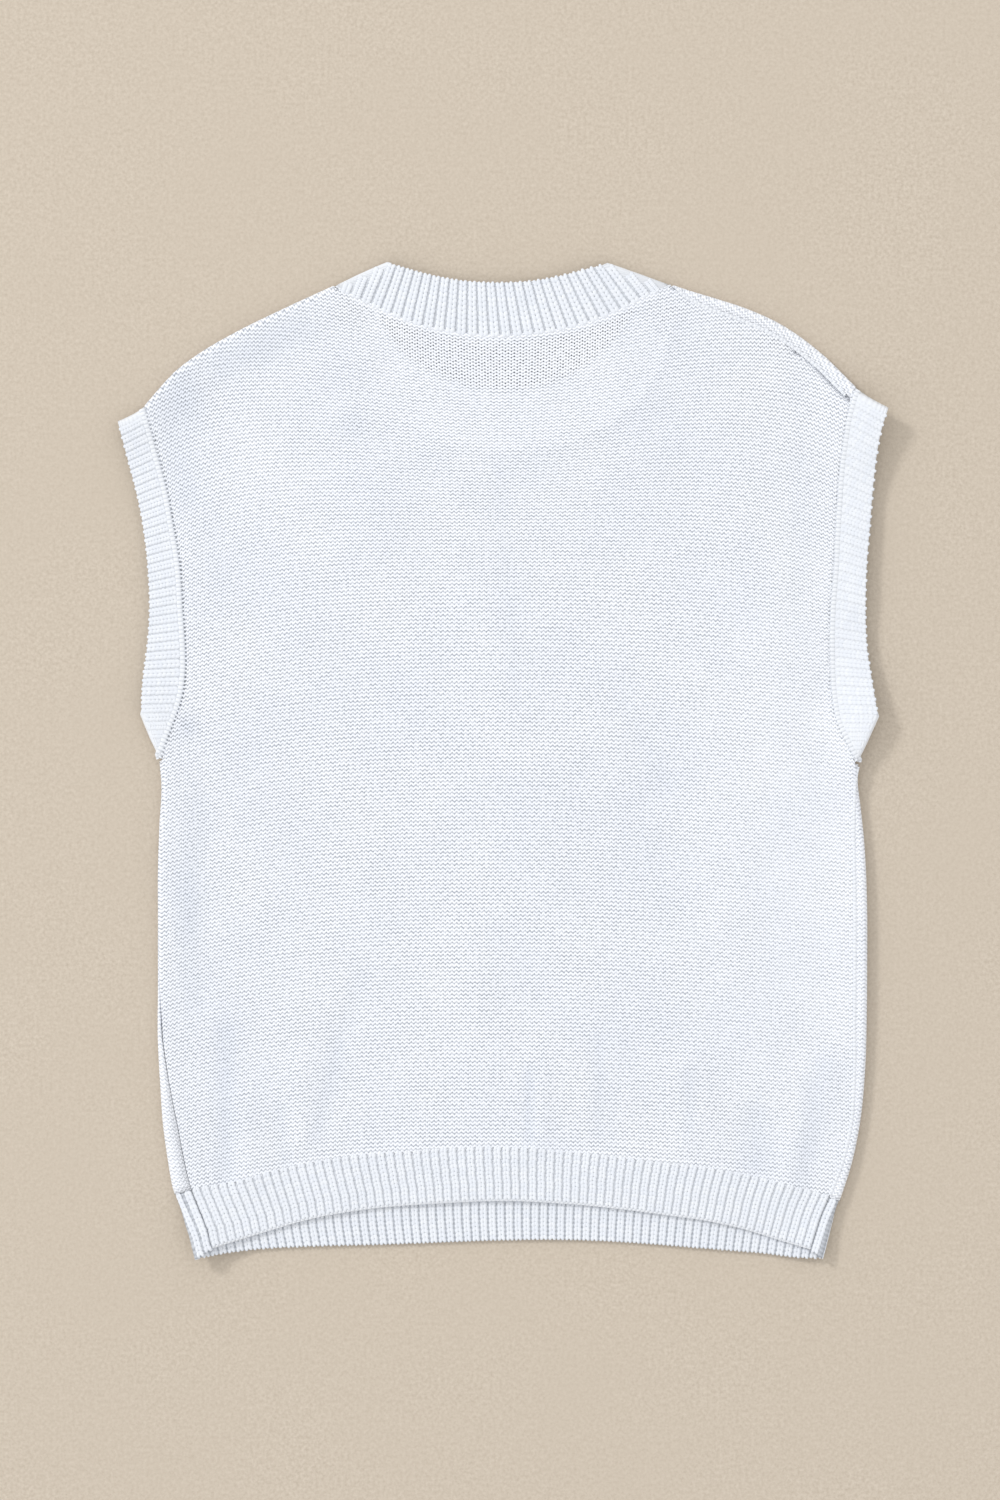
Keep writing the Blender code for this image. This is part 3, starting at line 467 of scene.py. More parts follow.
# %% [markdown]
# ## The folds along the closed edges
#
# Along the sides, the shoulders and the ends of the bands the knit turns over in a soft round
# fold, about 7 mm high. Its section is two quarter circles of the inner face, so a place on the
# cloth is found from its path length round the fold.

# %% Closed edges
def side_curves(side):
    """The two closed stretches of one side, and where the pieces meet along them."""
    lower_rows = side["side"] + side["underarm_fold"]
    upper_rows = (side["cap_tip"],) + side["shoulder"] + side["neck_fold"]
    lower, upper = smooth_curve(lower_rows), smooth_curve(upper_rows)
    curves = dict(side, lower=lower, upper=upper)
    curves["hem_at"] = nearest(lower, side["hem_seam"])
    curves["underarm_at"] = nearest(lower, side["underarm"])
    curves["shoulder_at"] = nearest(upper, side["shoulder_point"])
    curves["neck_at"] = nearest(upper, side["neck_point"])
    for name, rows, curve in (("lower_strip", side["side"], lower),
                              ("upper_strip", side["shoulder"], upper)):
        at = [nearest(curve, row[:2]) for row in rows]
        curves[name] = (at, [row[2] for row in rows])
    return curves


SIDES = {"left": side_curves(LEFT), "right": side_curves(RIGHT)}
CLOSED_EDGES = [side[part] for side in SIDES.values() for part in ("lower", "upper")]
print("closed edges in mm:", [round(length(edge)) for edge in CLOSED_EDGES])

# %% [markdown]
# ## The section of a fold
#
# A bevel on the edge of a flat shape would thin the cloth where it turns. Here the turn is a
# formula instead: it gives the depth in the plan and the angle of the cloth for each millimetre
# of path, so the stitches can be counted round the fold too.

# %% Folds
WALL = 2.0              # thickness of the knit
SEAM_GAP = 0.3
FOLD_EASE = 0.5         # more on each side where a seam runs over a fold
EASE_WIDTH = 6.0
FOLD_RADIUS = 1.5
FOLD_CENTRE = WALL + FOLD_RADIUS
FOLD_SPAN = WALL + FOLD_RADIUS
UP, DOWN = 1.0, -1.0
SAME = 1e-9
SAME_PLACE = 0.01
SAMPLES = 400

def unit(vectors):
    return vectors / np.maximum(np.linalg.norm(vectors, axis=-1, keepdims=True), SAME)


def fold_foot(points):
    """Distance in the plan from the nearest closed edge, and the nearest place on it."""
    nearest_yet, foot = np.full(points.shape[:-1], np.inf), np.zeros(points.shape)
    for edge in CLOSED_EDGES:
        starts, steps = edge[:-1], np.diff(edge, axis=0)
        away = points[..., None, :] - starts
        share = np.clip((away * steps).sum(-1) / (steps**2).sum(-1), 0.0, 1.0)
        gap = away - share[..., None] * steps
        reach = np.linalg.norm(gap, axis=-1)
        best = reach.argmin(-1)[..., None]
        least = np.take_along_axis(reach, best, -1)[..., 0]
        place = points - np.take_along_axis(gap, best[..., None], -2)[..., 0, :]
        nearer = least < nearest_yet
        nearest_yet = np.where(nearer, least, nearest_yet)
        foot = np.where(nearer[..., None], place, foot)
    return nearest_yet, foot


def fold_depth(points):
    return fold_foot(points)[0]


def fold_point(path):
    """Depth in the plan and turn in radians, at a path length from the fold's crown."""
    quarter = FOLD_RADIUS * math.pi / 2
    path = np.abs(path)
    turn = np.minimum(path / FOLD_RADIUS, math.pi / 2)
    depth = WALL + FOLD_RADIUS * (1 - np.cos(turn)) + np.maximum(path - quarter, 0.0)
    return depth, turn


def strip_path(strip):
    """Path length along the inner face from the fold's crown to a seam on the upper face."""
    turn = np.arccos(1 - np.minimum(strip / FOLD_SPAN, 1.0))
    return FOLD_RADIUS * turn + np.maximum(strip - FOLD_SPAN, 0.0)


print(f"a fold stands {2 * FOLD_CENTRE:.0f} mm high")

# %% [markdown]
# ## How high the cloth lies
#
# The front lies on the table. The back lies on it with a little air between, comes down from
# the folds over about an inch, and has the soft creases that were left when it was smoothed by
# hand. Knit is never quite even, so waves a few centimetres long and a few tenths of a
# millimetre high run through it. Each is a sum of sines with fixed phases, which is the same on
# every run.

# %% Waves and fine creases
# length in mm, direction in degrees, phase, height in mm
WAVES = (
    (61.0, 12.0, 0.4, 0.16), (47.0, 71.0, 2.1, 0.13), (38.0, 118.0, 4.0, 0.10),
    (29.0, 33.0, 5.2, 0.07), (23.0, 152.0, 1.3, 0.06),
)
# Finer creases than the solid has: x0, y0, x1, y1, width, height
FINE_CREASES = (
    (-205.0, -30.0, -208.0, -165.0, 10.0, -0.5),
    (-187.0, -240.0, -187.0, -285.0, 6.0, -0.6),
    (-95.0, -149.0, -110.0, -192.0, 8.0, -0.35),
    (-110.0, -192.0, -126.0, -256.0, 7.0, -0.6),
    (-150.0, -238.0, -147.0, -274.0, 5.5, -0.55),
    (-96.0, -230.0, -95.0, -262.0, 5.0, 0.35),
    (-16.0, -140.0, -10.0, -212.0, 13.0, 0.6),
    (18.5, -212.0, 18.5, -257.0, 4.0, -0.85),
    (27.0, -212.0, 27.0, -257.0, 4.0, 0.7),
    (66.0, -192.0, 66.0, -256.0, 6.0, -0.5),
    (76.0, -222.0, 74.0, -262.0, 5.0, -0.35),
    (127.0, -214.0, 127.0, -250.0, 5.0, -0.5),
    (140.0, -230.0, 143.0, -268.0, 5.0, 0.45),
    (219.0, -206.0, 203.0, -286.0, 7.0, -0.55),
    (206.0, -214.0, 195.0, -266.0, 7.0, 0.6),
    (-206.0, 190.0, -190.0, 120.0, 10.0, -0.3),
    (205.0, 200.0, 200.0, 90.0, 9.0, -0.25),
    (-60.0, 226.0, 40.0, 214.0, 16.0, 0.35),
    (-1.7, 200.0, 9.0, 37.0, 5.0, -0.25),
    (84.0, 37.0, 113.0, -20.0, 6.0, -0.25),
)

# The front neckband as it shows through the back: its free edge and its seam
SEEN_EDGE = (
    (-85.0, 309.0), (-77.0, 288.0), (-59.0, 269.5), (-37.5, 258.8), (-12.5, 251.6),
    (12.6, 251.0), (41.0, 258.8), (62.7, 273.0), (80.0, 290.0), (91.5, 309.0),
)
SEEN_SEAM = (
    (-110.0, 312.0), (-105.6, 298.0), (-89.0, 266.0), (-73.0, 241.0), (-44.7, 219.5),
    (-1.7, 210.0), (34.0, 212.3), (69.8, 226.6), (98.0, 251.6), (110.0, 276.0), (117.0, 305.0),
)
SEAM_RIDGE, RIDGE_WIDTH = 0.55, 3.6     # that seam's height and half width, felt through it

def away_from(curve, points):
    """Distance in the plan from a curve's nearest point."""
    nearest_yet = np.full(points.shape[:-1], np.inf)
    for place in curve[::2]:
        nearest_yet = np.minimum(nearest_yet, np.linalg.norm(points[..., :2] - place, axis=-1))
    return nearest_yet


def crease_shapes(points):
    """For each crease its height and how much of it is felt at points of the plan."""
    for x0, y0, x1, y1, width, height in CREASES + FINE_CREASES:
        start, step = np.array([x0, y0]), np.array([x1 - x0, y1 - y0])
        share = ((points - start) * step).sum(-1) / (step**2).sum()
        foot = start + np.clip(share, 0.0, 1.0)[..., None] * step
        yield height, np.exp(-(np.linalg.norm(points - foot, axis=-1) / width) ** 2)


def creases(points):
    total = np.zeros(points.shape[:-1])
    for height, felt in crease_shapes(points):
        total += height * felt
    ridge = away_from(smooth_curve(SEEN_SEAM), points)
    total += SEAM_RIDGE * np.exp(-(ridge / RIDGE_WIDTH) ** 2)
    for wave, heading, phase, height in WAVES:
        along = points @ (math.cos(math.radians(heading)), math.sin(math.radians(heading)))
        total += height * np.sin(along * TURN / wave + phase)
    return total


print(len(CREASES + FINE_CREASES), "creases and", len(WAVES), "waves in the back")

# %% [markdown]
# ## Both layers as heights
#
# A height for each point of the plan could be sculpted, but a formula lets every band and panel
# ask for it alike, so neighbours always meet at the same height.

# %% Heights
SETTLE_WIDTH = 26.0
OPEN_HEIGHT = 4.0
LOWEST_UPPER = 2.8

def lift(points):
    total = np.zeros(points.shape[:-1])
    for x, y, reach_x, reach_y, height in LIFTS:
        away = np.hypot((points[..., 0] - x) / reach_x, (points[..., 1] - y) / reach_y)
        total += height * smooth_step(1.0 - away)
    return total


def inner_face(points, layer, turn=None):
    """Points of the cloth's inner face over points of the plan, on the layer UP or DOWN.

    turn is the angle round a fold, where it is known; elsewhere it follows from the depth.
    """
    depth = fold_depth(points)
    share = 1.0 - np.clip((depth - WALL) / FOLD_RADIUS, 0.0, 1.0)
    rise = FOLD_RADIUS * np.sqrt(1.0 - share**2)
    if turn is not None:
        rise = np.where(np.isnan(turn), rise, FOLD_RADIUS * np.sin(turn))
    settled = smooth_step((depth - FOLD_SPAN) / SETTLE_WIDTH)
    crown = FOLD_CENTRE + FOLD_RADIUS
    upper = FOLD_CENTRE + rise + settled * (OPEN_HEIGHT - crown + creases(points))
    upper = np.where(settled > 0, np.maximum(upper, LOWEST_UPPER), upper)
    height = np.where(np.asarray(layer) > 0, upper, FOLD_CENTRE - rise) + lift(points)
    return np.concatenate([points, height[..., None]], axis=-1)


middle = inner_face(np.zeros((1, 2)), UP)[0]
print(f"the back's inner face is {middle[2]:.2f} mm up at its middle")

# %% [markdown]
# ## A sheet of knit
#
# Every piece of cloth is drawn as the grid of its inner face, and Solidify gives it its
# thickness outwards. A closed shell could be modelled by hand, but with one wall value the cloth
# is equally thick everywhere, also round a fold. The UV map of the sheet counts stitches: one
# unit of U is one column of stitches, called a wale, and one unit of V is one row, called a
# course. So the knit follows the cloth and turns with it at the folds.

# %% Sheets of cloth
def plain_mesh(piece):
    """The piece with its modifiers made real, as a plain mesh at the origin."""
    shown = piece.evaluated_get(bpy.context.evaluated_depsgraph_get())
    mesh = bpy.data.meshes.new_from_object(shown)
    piece.modifiers.clear()
    mesh.name = piece.name
    piece.data = mesh
    mesh.calc_loop_triangles()
    print(f"{piece.name}: {len(mesh.loop_triangles)} triangles")
    return piece


def link(name, mesh):
    piece = bpy.data.objects.new(name, mesh)
    bpy.context.scene.collection.objects.link(piece)
    return piece


def cloth(name, sheets, wall, material):
    """A piece of cloth. Each sheet is (points, stitch counts, marks, winding).

    marks are numbers that the corners carry for the material, by name.
    """
    corners, faces, counts, marked = [], [], [], {}
    for points, count, marks, winding in sheets:
        rows, columns = points.shape[:2]
        first = sum(len(part) for part in corners)
        index = first + np.arange(rows * columns).reshape(rows, columns)
        loop = np.stack([index[:-1, :-1], index[:-1, 1:], index[1:, 1:], index[1:, :-1]], -1)
        faces.append(loop.reshape(-1, 4)[:, ::1 if winding > 0 else -1])
        corners.append(points.reshape(-1, 3))
        counts.append(count.reshape(-1, 2))
        for key, values in marks.items():
            values = np.broadcast_to(values, (rows, columns))
            marked.setdefault(key, []).append(values.reshape(-1))
    faces, counts = np.vstack(faces), np.vstack(counts)
    mesh = bpy.data.meshes.new(name)
    mesh.from_pydata((np.vstack(corners) * MM).tolist(), [], faces.tolist())
    mesh.uv_layers.new(name="stitches").data.foreach_set("uv", counts[faces].ravel())
    for key, parts in marked.items():
        mesh.attributes.new(key, "FLOAT", "CORNER").data.foreach_set(
            "value", np.concatenate(parts)[faces].ravel())
    mesh.materials.append(material)
    shape = bmesh.new()
    shape.from_mesh(mesh)
    bmesh.ops.remove_doubles(shape, verts=shape.verts[:], dist=SAME_PLACE * MM)
    for face in shape.faces:
        face.smooth = True
    shape.to_mesh(mesh)
    shape.free()
    piece = link(name, mesh)
    solid = piece.modifiers.new("cloth", "SOLIDIFY")
    solid.thickness, solid.offset = wall * MM, 1.0
    return plain_mesh(piece)


# %% [markdown]
# ## How the stitches run over the body
#
# The courses of the laid vest aren't level. They arch, highest in the middle, because the
# shoulders slope and the sides were pulled down. Below the neck they sag, and the wales stand
# apart, because the neckband holds the cloth wide. Smooth formulas of the place on the cloth
# say all of it.

# %% Stitch counts of the body
WALE, COURSE = 3.1, 2.68        # one stitch of a cotton yarn on a 7-gauge machine
SPAN = 240.0                    # from the middle of the vest to its side
# How far a course falls from the middle to the side, and the power it falls with
ARCHES = {"left": (28.0, 2.8), "right": (17.0, 2.0)}
ARCH_FADE = (0.8, 60.0, 270.0)  # the share of it that is lost upwards, from and to
SLOPES = {"left": 20.0, "right": 24.0}      # the fall at the ends of the shoulders
SLOPE_POWER, SLOPE_FROM, SLOPE_TO = 6, 40.0, 200.0
NECK_DIP, DIP_REACH = 30.0, 120.0           # the courses sag below the neck
NECK_SPREAD, SPREAD_REACH = 0.24, 130.0     # and the wales stand apart there
NECK_FROM, NECK_TO = 110.0, 290.0
SIDE_CROWDING = 0.05            # the wales lie closer near the sides
UNROLL_FADE = 50.0

def stitch_counts(places):
    """Wale and course number at places of the unrolled cloth."""
    across, along = places[..., 0], places[..., 1]
    out = np.minimum(np.abs(across) / SPAN, 1.0)
    lost, fade_from, fade_to = ARCH_FADE
    left_over = 1 - lost * smooth_step((along - fade_from) / (fade_to - fade_from))
    steep = out**SLOPE_POWER * smooth_step((along - SLOPE_FROM) / (SLOPE_TO - SLOPE_FROM))
    falls = [fall * left_over * out**power + SLOPES[name] * steep
             for name, (fall, power) in ARCHES.items()]
    climb = np.clip((along - NECK_FROM) / (NECK_TO - NECK_FROM), 0.0, None)
    dip = NECK_DIP * climb**1.5 * np.exp(-(across / DIP_REACH) ** 2)
    spread = NECK_SPREAD * smooth_step(climb) * np.exp(-(across / SPREAD_REACH) ** 2)
    straight = across * (1 - spread)
    wale = straight * (1 + SIDE_CROWDING * (straight / SPAN) ** 2) / WALE
    course = (along + np.where(across < 0, *falls) + dip) / COURSE
    return np.stack([wale, course], axis=-1)


def unrolled(plan, layers, turns, layer):
    """Places on a panel's cloth as if its folds were rolled out flat."""
    depth, foot = fold_foot(plan)
    way_in = unit(plan - foot)
    flat_turn = np.arccos(1 - np.clip((depth - WALL) / FOLD_RADIUS, 0.0, 1.0))
    path = (FOLD_RADIUS * np.where(np.isnan(turns), flat_turn, turns)
            + np.maximum(depth - FOLD_SPAN, 0.0))
    slack = (path - depth + WALL) * smooth_step(1 - depth / UNROLL_FADE)
    beyond = foot + way_in * (WALL - path)[..., None]
    return np.where((layers == layer)[..., None], plan + way_in * slack[..., None], beyond)


print(f"about {round(480 / WALE)} wales by {round(600 / COURSE)} courses to a panel")

# %% [markdown]
# ## Where light and shadow show through
#
# The knit is open enough to see through. Inside the neck the back of the vest has only shadow
# behind it, so its holes get painted shadow there, and a little painted shade where the shoulders
# stand off the table. Around that window the front neckband lies behind the knit, as a pale
# crescent, and just below the back neckband the seam's own turning fills the holes with white.
# Beside the armhole seams the stitches are pulled open, and painted shade makes them a row of dark
# holes. Each corner of the cloth carries that as a number, from -1 for filled holes to 1 for
# painted shadow in them, and the material reads it. A second number is painted shade: it says how
# far the cloth turns away from the lamp, in its troughs and where it comes down to a fold, and
# there mixes in a cooler, darker colour for the cooler light of the room.

# %% Painted shade and dense places
SEEN_SOFT = 4.0             # how wide the edges of the neckband below are, seen through
# WINDOW is painted shadow in the holes inside the neck; DOUBLED fills them where the neckband lies
# behind
WINDOW, DOUBLED = 1.0, -0.12
# x, y, reach each way, strength: painted shade in the holes, less than 0 where the cloth is dense
HOLE_SHADE_AND_DENSE_PLACES = (
    (-103.0, 305.0, 20.0, 14.0, 0.5),
    (112.0, 303.0, 20.0, 14.0, 0.5),
    (188.0, 282.0, 20.0, 12.0, 0.5),
    (-212.0, 245.0, 32.0, 36.0, 0.4),
    (-100.0, 227.0, 14.0, 14.0, 0.3),
    (-213.0, 22.0, 12.0, 12.0, 0.4),
    (215.0, -60.0, 130.0, 340.0, -0.3),
    (-165.0, 190.0, 90.0, 90.0, -0.1),
)
# Painted shade, where the cloth turns away from the lamp and reflects the cool side of the room
SHADED_PLACES = (
    (-216.0, 244.0, 26.0, 44.0, 0.42),
    (-100.0, 227.0, 16.0, 16.0, 0.2),
    (-213.0, 22.0, 12.0, 14.0, 0.35),
    (-212.0, -100.0, 18.0, 90.0, 0.35),
)
# Painted shade in the troughs of the creases
CREASE_SHADE = 0.36         # for each millimetre of a trough
# Painted shade in the holes beside the armhole seams, where the stitches are pulled open
SEAM_HOLE_SHADE = {"left": 0.75, "right": 0.45}     # the holes beside the armhole seams
SEAM_HOLE_SHADE_WIDTH = 2.6
TURNING = (1.0, 4.5)        # the neck seam's turning, from and to, below the seam
HEM_TURNING = 5.0
TURNING_FILL, HEM_FILL = 0.5, 0.4       # how far the two turnings fill the holes
ROLLED_EDGE = -0.35         # the front panel, where it rolls onto the back, is seen twice thick
print("places where the knit is open or dense:", len(HOLE_SHADE_AND_DENSE_PLACES) + len(SEAM_HOLE_SHADE) + 2)

# %% [markdown]
# ## From places to marks
#
# The marks could be painted by hand in Blender. Worked out from the seams and the tables, they
# stay right when a line is moved.

# %% Showing through
def hanging(rows, points):
    """1 inside a line that hangs like a necklace and 0 outside it."""
    line = smooth_curve(rows)
    lowest = np.interp(points[..., 0], line[:, 0], line[:, 1], left=np.inf, right=np.inf)
    away = away_from(line, points) * np.where(points[..., 1] > lowest, 1.0, -1.0)
    return smooth_step(0.5 + away / SEEN_SOFT)


# Painted shadow in the holes where it is more than 0, holes filled by cloth behind where less than
# 0
def hole_shade_and_fill(points, layer):
    total = np.full(points.shape[:-1], 0.0 if layer > 0 else ROLLED_EDGE)
    if layer > 0:
        window, doubled = hanging(SEEN_EDGE, points), hanging(SEEN_SEAM, points)
        total = WINDOW * window + DOUBLED * (doubled - window)
        for x, y, reach_x, reach_y, strength in HOLE_SHADE_AND_DENSE_PLACES:
            away = np.hypot((points[..., 0] - x) / reach_x, (points[..., 1] - y) / reach_y)
            place = strength * smooth_step(1 - away)
            total = np.where(place > 0, np.maximum(total, place), total + place)
        below = away_from(smooth_curve(NECK_BACK_SEAM), points)
        turning = smooth_step((TURNING[1] - below) / 2) * smooth_step(below / TURNING[0])
        total = total * (1 - turning) - TURNING_FILL * turning
        hem = away_from(smooth_curve(BACK_HEM_SEAM), points)
        total = total - HEM_FILL * smooth_step(1 - hem / HEM_TURNING)
    for name, side in SIDES.items():
        away = away_from(smooth_curve(side["armhole_seam"]), points)
        near = smooth_step(1 - away / SEAM_HOLE_SHADE_WIDTH)
        total = total + near * (SEAM_HOLE_SHADE[name] - total)
    return total


# Painted shade: how much of the cooler, darker colour each corner takes
def shaded(points, layer):
    total = np.zeros(points.shape[:-1])
    if layer > 0:
        for x, y, reach_x, reach_y, strength in SHADED_PLACES:
            away = np.hypot((points[..., 0] - x) / reach_x, (points[..., 1] - y) / reach_y)
            total = np.maximum(total, strength * smooth_step(1 - away))
        for height, felt in crease_shapes(points[..., :2]):
            if height < 0:
                total = np.maximum(total, -height * CREASE_SHADE * felt)
    return total


middle = np.zeros((1, 3))
print("marks at the middle of the back:", hole_shade_and_fill(middle, UP)[0], shaded(middle, UP)[0])

# %% [markdown]
# ## The purl-faced knit
#
# The outside of this vest is the purl side of plain knitting. The loops' heads and feet show
# there as wavy rows, with a small dark hole between each four loops. Knitted loops could be
# modelled one by one, but the body has about 35,000 of them on each side, so here they are
# relief in the material: one wave for each row that swings by a quarter of a course, with a
# rounded profile, and painted shade that darkens the colour in the hollows, most at the wave's
# ends, where light has to bounce to get out. Combed cotton is matt, with a bloom of short fibres
# that softens every edge, so it gets a high roughness and a little sheen.

# %% Knit of the body
SWING = 0.23                # how far a row swings up and down, in courses
WANDER = 0.28               # how far it strays from its place, in courses
COTTON_SHINE, COTTON_FUZZ = 0.25, 0.15
COTTON = linear("#F9FBFE")
COTTON_COOL = linear("#EFF3FD")
# The colour of the painted shade
COTTON_SHADED = linear("#D9E1F0")   # where it is turned away from the lamp
# Painted shade in the hollows between the rows, and painted shadow seen through the holes
HOLLOW_SHADE = linear("#A6ACB6")
HOLE_SHADE = linear("#484D55")

def purl_knit():
    material, tree, shader = new_material("purl_knit_combed_cotton",
                                          0.92, COTTON_SHINE, COTTON_FUZZ)
    counts = add(tree, "ShaderNodeUVMap", uv_map="stitches")
    wale = add(tree, "ShaderNodeSeparateXYZ", {0: counts})
    course = wale.node.outputs["Y"]
    uneven = add(tree, "ShaderNodeTexNoise", {"Vector": counts, "Scale": 0.55, "Detail": 2.0})
    each = add(tree, "ShaderNodeTexNoise", {"Vector": counts, "Scale": 1.3, "Detail": 0.0})
    patch = add(tree, "ShaderNodeTexNoise", {"Vector": counts, "Scale": 0.10, "Detail": 2.0})
    turn = add(tree, MATH, {0: wale, 1: TURN}, operation="MULTIPLY")
    wave = add(tree, MATH, {0: turn}, operation="COSINE")
    swing = add(tree, MATH, {0: wave, 1: SWING}, operation="MULTIPLY")
    shift = add(tree, MATH, {0: uneven, 1: WANDER, 2: -WANDER / 2}, operation="MULTIPLY_ADD")
    level = add(tree, MATH, {0: course, 1: swing}, operation="SUBTRACT")
    level = add(tree, MATH, {0: level, 1: shift}, operation="ADD")
    around = add(tree, MATH, {0: level, 1: TURN}, operation="MULTIPLY")
    profile = add(tree, MATH, {0: around}, operation="COSINE")
    row = add(tree, MATH, {0: profile, 1: 0.5, 2: 0.5}, operation="MULTIPLY_ADD")
    double = add(tree, MATH, {0: turn, 1: 2.0}, operation="MULTIPLY")
    ends = add(tree, MATH, {0: double}, operation="COSINE")
    knuckle = add(tree, MATH, {0: ends, 1: 0.14, 2: 0.86}, operation="MULTIPLY_ADD")
    relief = add(tree, MATH, {0: row, 1: 0.6}, operation="POWER")
    relief = add(tree, MATH, {0: relief, 1: knuckle}, operation="MULTIPLY")

    # Painted shade: the colour darkens in the hollows, most at the wave's ends
    depth = add(tree, MATH, {0: 1.0, 1: row}, operation="SUBTRACT")
    depth = add(tree, MATH, {0: depth, 1: 2.0}, operation="POWER")
    # painted shadow behind the holes, and the fill of cloth behind them
    through = add(tree, "ShaderNodeAttribute", attribute_name="hole_shade_and_fill", out="Fac")
    shade_behind = add(tree, MATH, {0: through, 1: 0.0}, operation="MAXIMUM")
    filled = add(tree, MATH, {0: through, 1: 0.0}, operation="MINIMUM")
    between = add(tree, MATH, {0: ends, 1: 0.5, 2: -0.5}, operation="MULTIPLY_ADD")
    apart = add(tree, MATH, {0: shade_behind, 1: 0.45, 2: 0.45}, operation="MULTIPLY_ADD")
    spots = add(tree, MATH, {0: between, 1: apart, 2: 1.0}, operation="MULTIPLY_ADD")
    own = add(tree, "ShaderNodeMapRange", {"Value": each, "From Min": 0.3, "From Max": 0.7,
                                           "To Min": 0.6, "To Max": 1.5})
    zone = add(tree, "ShaderNodeMapRange", {"Value": patch, "From Min": 0.35, "From Max": 0.65,
                                            "To Min": 0.92, "To Max": 1.06})
    zone = add(tree, MATH, {0: zone, 1: shade_behind}, operation="MAXIMUM")
    zone = add(tree, MATH, {0: zone, 1: filled}, operation="ADD")
    hollow = add(tree, MATH, {0: depth, 1: spots}, operation="MULTIPLY")
    hollow = add(tree, MATH, {0: hollow, 1: own}, operation="MULTIPLY")
    hollow = add(tree, MATH, {0: hollow, 1: zone}, operation="MULTIPLY", use_clamp=True)
    place = add(tree, "ShaderNodeTexCoord", out="Object")
    cloudy = add(tree, "ShaderNodeTexNoise", {"Vector": place, "Scale": 14.0, "Detail": 2.0})
    tone = add(tree, "ShaderNodeMix", {0: cloudy, 6: COTTON, 7: COTTON_COOL}, out=2,
               data_type="RGBA")
    # painted shade, where the cloth turns away from the lamp
    cooler = add(tree, "ShaderNodeAttribute", attribute_name="shaded", out="Fac")
    tone = add(tree, "ShaderNodeMix", {0: cooler, 6: tone, 7: COTTON_SHADED}, out=2,
               data_type="RGBA")
    # painted shade in the hollows, darker where painted shadow lies behind the holes
    dark = add(tree, "ShaderNodeMix", {0: shade_behind, 6: HOLLOW_SHADE, 7: HOLE_SHADE}, out=2, data_type="RGBA")
    colour = add(tree, "ShaderNodeMix", {0: hollow, 6: tone, 7: dark}, out=2,
                 data_type="RGBA")
    tree.links.new(colour, shader.inputs["Base Color"])
    fibre = add(tree, "ShaderNodeTexNoise", {"Vector": counts, "Scale": 7.0, "Detail": 2.0})
    height = add(tree, MATH, {0: fibre, 1: 0.12, 2: relief}, operation="MULTIPLY_ADD")
    bump = add(tree, "ShaderNodeBump", {"Height": height, "Strength": 0.6,
                                        "Distance": 0.9 * MM}, out="Normal")
    tree.links.new(bump, shader.inputs["Normal"])
    return material


PURL_KNIT = purl_knit()
print("purl knit has", len(PURL_KNIT.node_tree.nodes), "nodes")

# %% [markdown]
# ## The two panels
#
# The back and the front are one sheet each. A flat outline could simply be filled, but its faces
# would then run anyhow, and the folds need rows of faces along them. So the four sides of the
# outline are blended into a grid, called a Coons patch, and the rows beside each fold are laid
# by their path length round it.

# %% Seams between panels and bands
SIDE_ROWS = 60
ARMHOLE_ROWS = 52
SHOULDER_COLUMNS = 22
NECK_COLUMNS = 44
CROWDING = 1.5
NECK_CROWDING = 1.6

def crown_point(side, part, at):
    """Point on the crown of a fold, nearest to a place along the closed edge."""
    crown = inset(side[part], WALL, side["inward"])
    return walk(crown, nearest(crown, walk(side[part], side[at])))


def crowded(count):
    """Shares of a curve at its corners, closer together near its start."""
    return np.linspace(0, 1, count + 1) ** CROWDING


def crowded_twice(count):
    """The same, closer together near both ends."""
    half = np.linspace(0, 1, count // 2 + 1) ** NECK_CROWDING / 2
    return np.concatenate([half, 1 - half[-2::-1]])


def chords(rows, start, end, shares):
    """The corners of a seam: a smooth curve through a table's rows, cut into chords."""
    curve = smooth_curve((tuple(start),) + rows + (tuple(end),))
    return walk(curve, shares * length(curve))


def beside(seam, sign):
    """A seam's own edge on one side of it: half the gap away, and more over a fold."""
    over_fold = 1.0 - smooth_step((fold_depth(seam) - WALL) / EASE_WIDTH)
    return sign * (SEAM_GAP / 2 + FOLD_EASE * over_fold)


def armhole_seam(side):
    """Where band and panel meet, from the underarm to the shoulder."""
    start = crown_point(side, "lower", "underarm_at")
    end = crown_point(side, "upper", "shoulder_at")
    return chords(side["armhole_seam"], start, end, crowded(ARMHOLE_ROWS))


def neck_seam(rows):
    start, end = (crown_point(side, "upper", "neck_at") for side in SIDES.values())
    return chords(rows, start, end, crowded_twice(NECK_COLUMNS))


print("left armhole seam:", round(length(armhole_seam(SIDES["left"]))), "mm")

# %% [markdown]
# ## Rows over a fold
#
# Where a row of the grid runs over a closed edge, evenly spaced corners would cut the round turn
# into two or three flats. So they are packed where the cloth turns and spread where it is flat.

# %% Rows over a fold
EDGE_COLUMNS = 8
OPEN_CROWDING = 1.3
EDGE_DEPTH = 6.2
FLAT_DENSITY = 0.12

def edge_paths(start, end, count):
    """Path lengths from the crown of a fold, closer together where the cloth turns."""
    quarter = FOLD_RADIUS * math.pi / 2
    fine = np.linspace(start, end, SAMPLES)
    density = np.where(np.abs(fine) <= quarter, 1.0, FLAT_DENSITY)
    run = np.concatenate([[0.0], np.cumsum((density[1:] + density[:-1]) / 2)])
    return np.interp(np.linspace(0, run[-1], count + 1), run, fine)


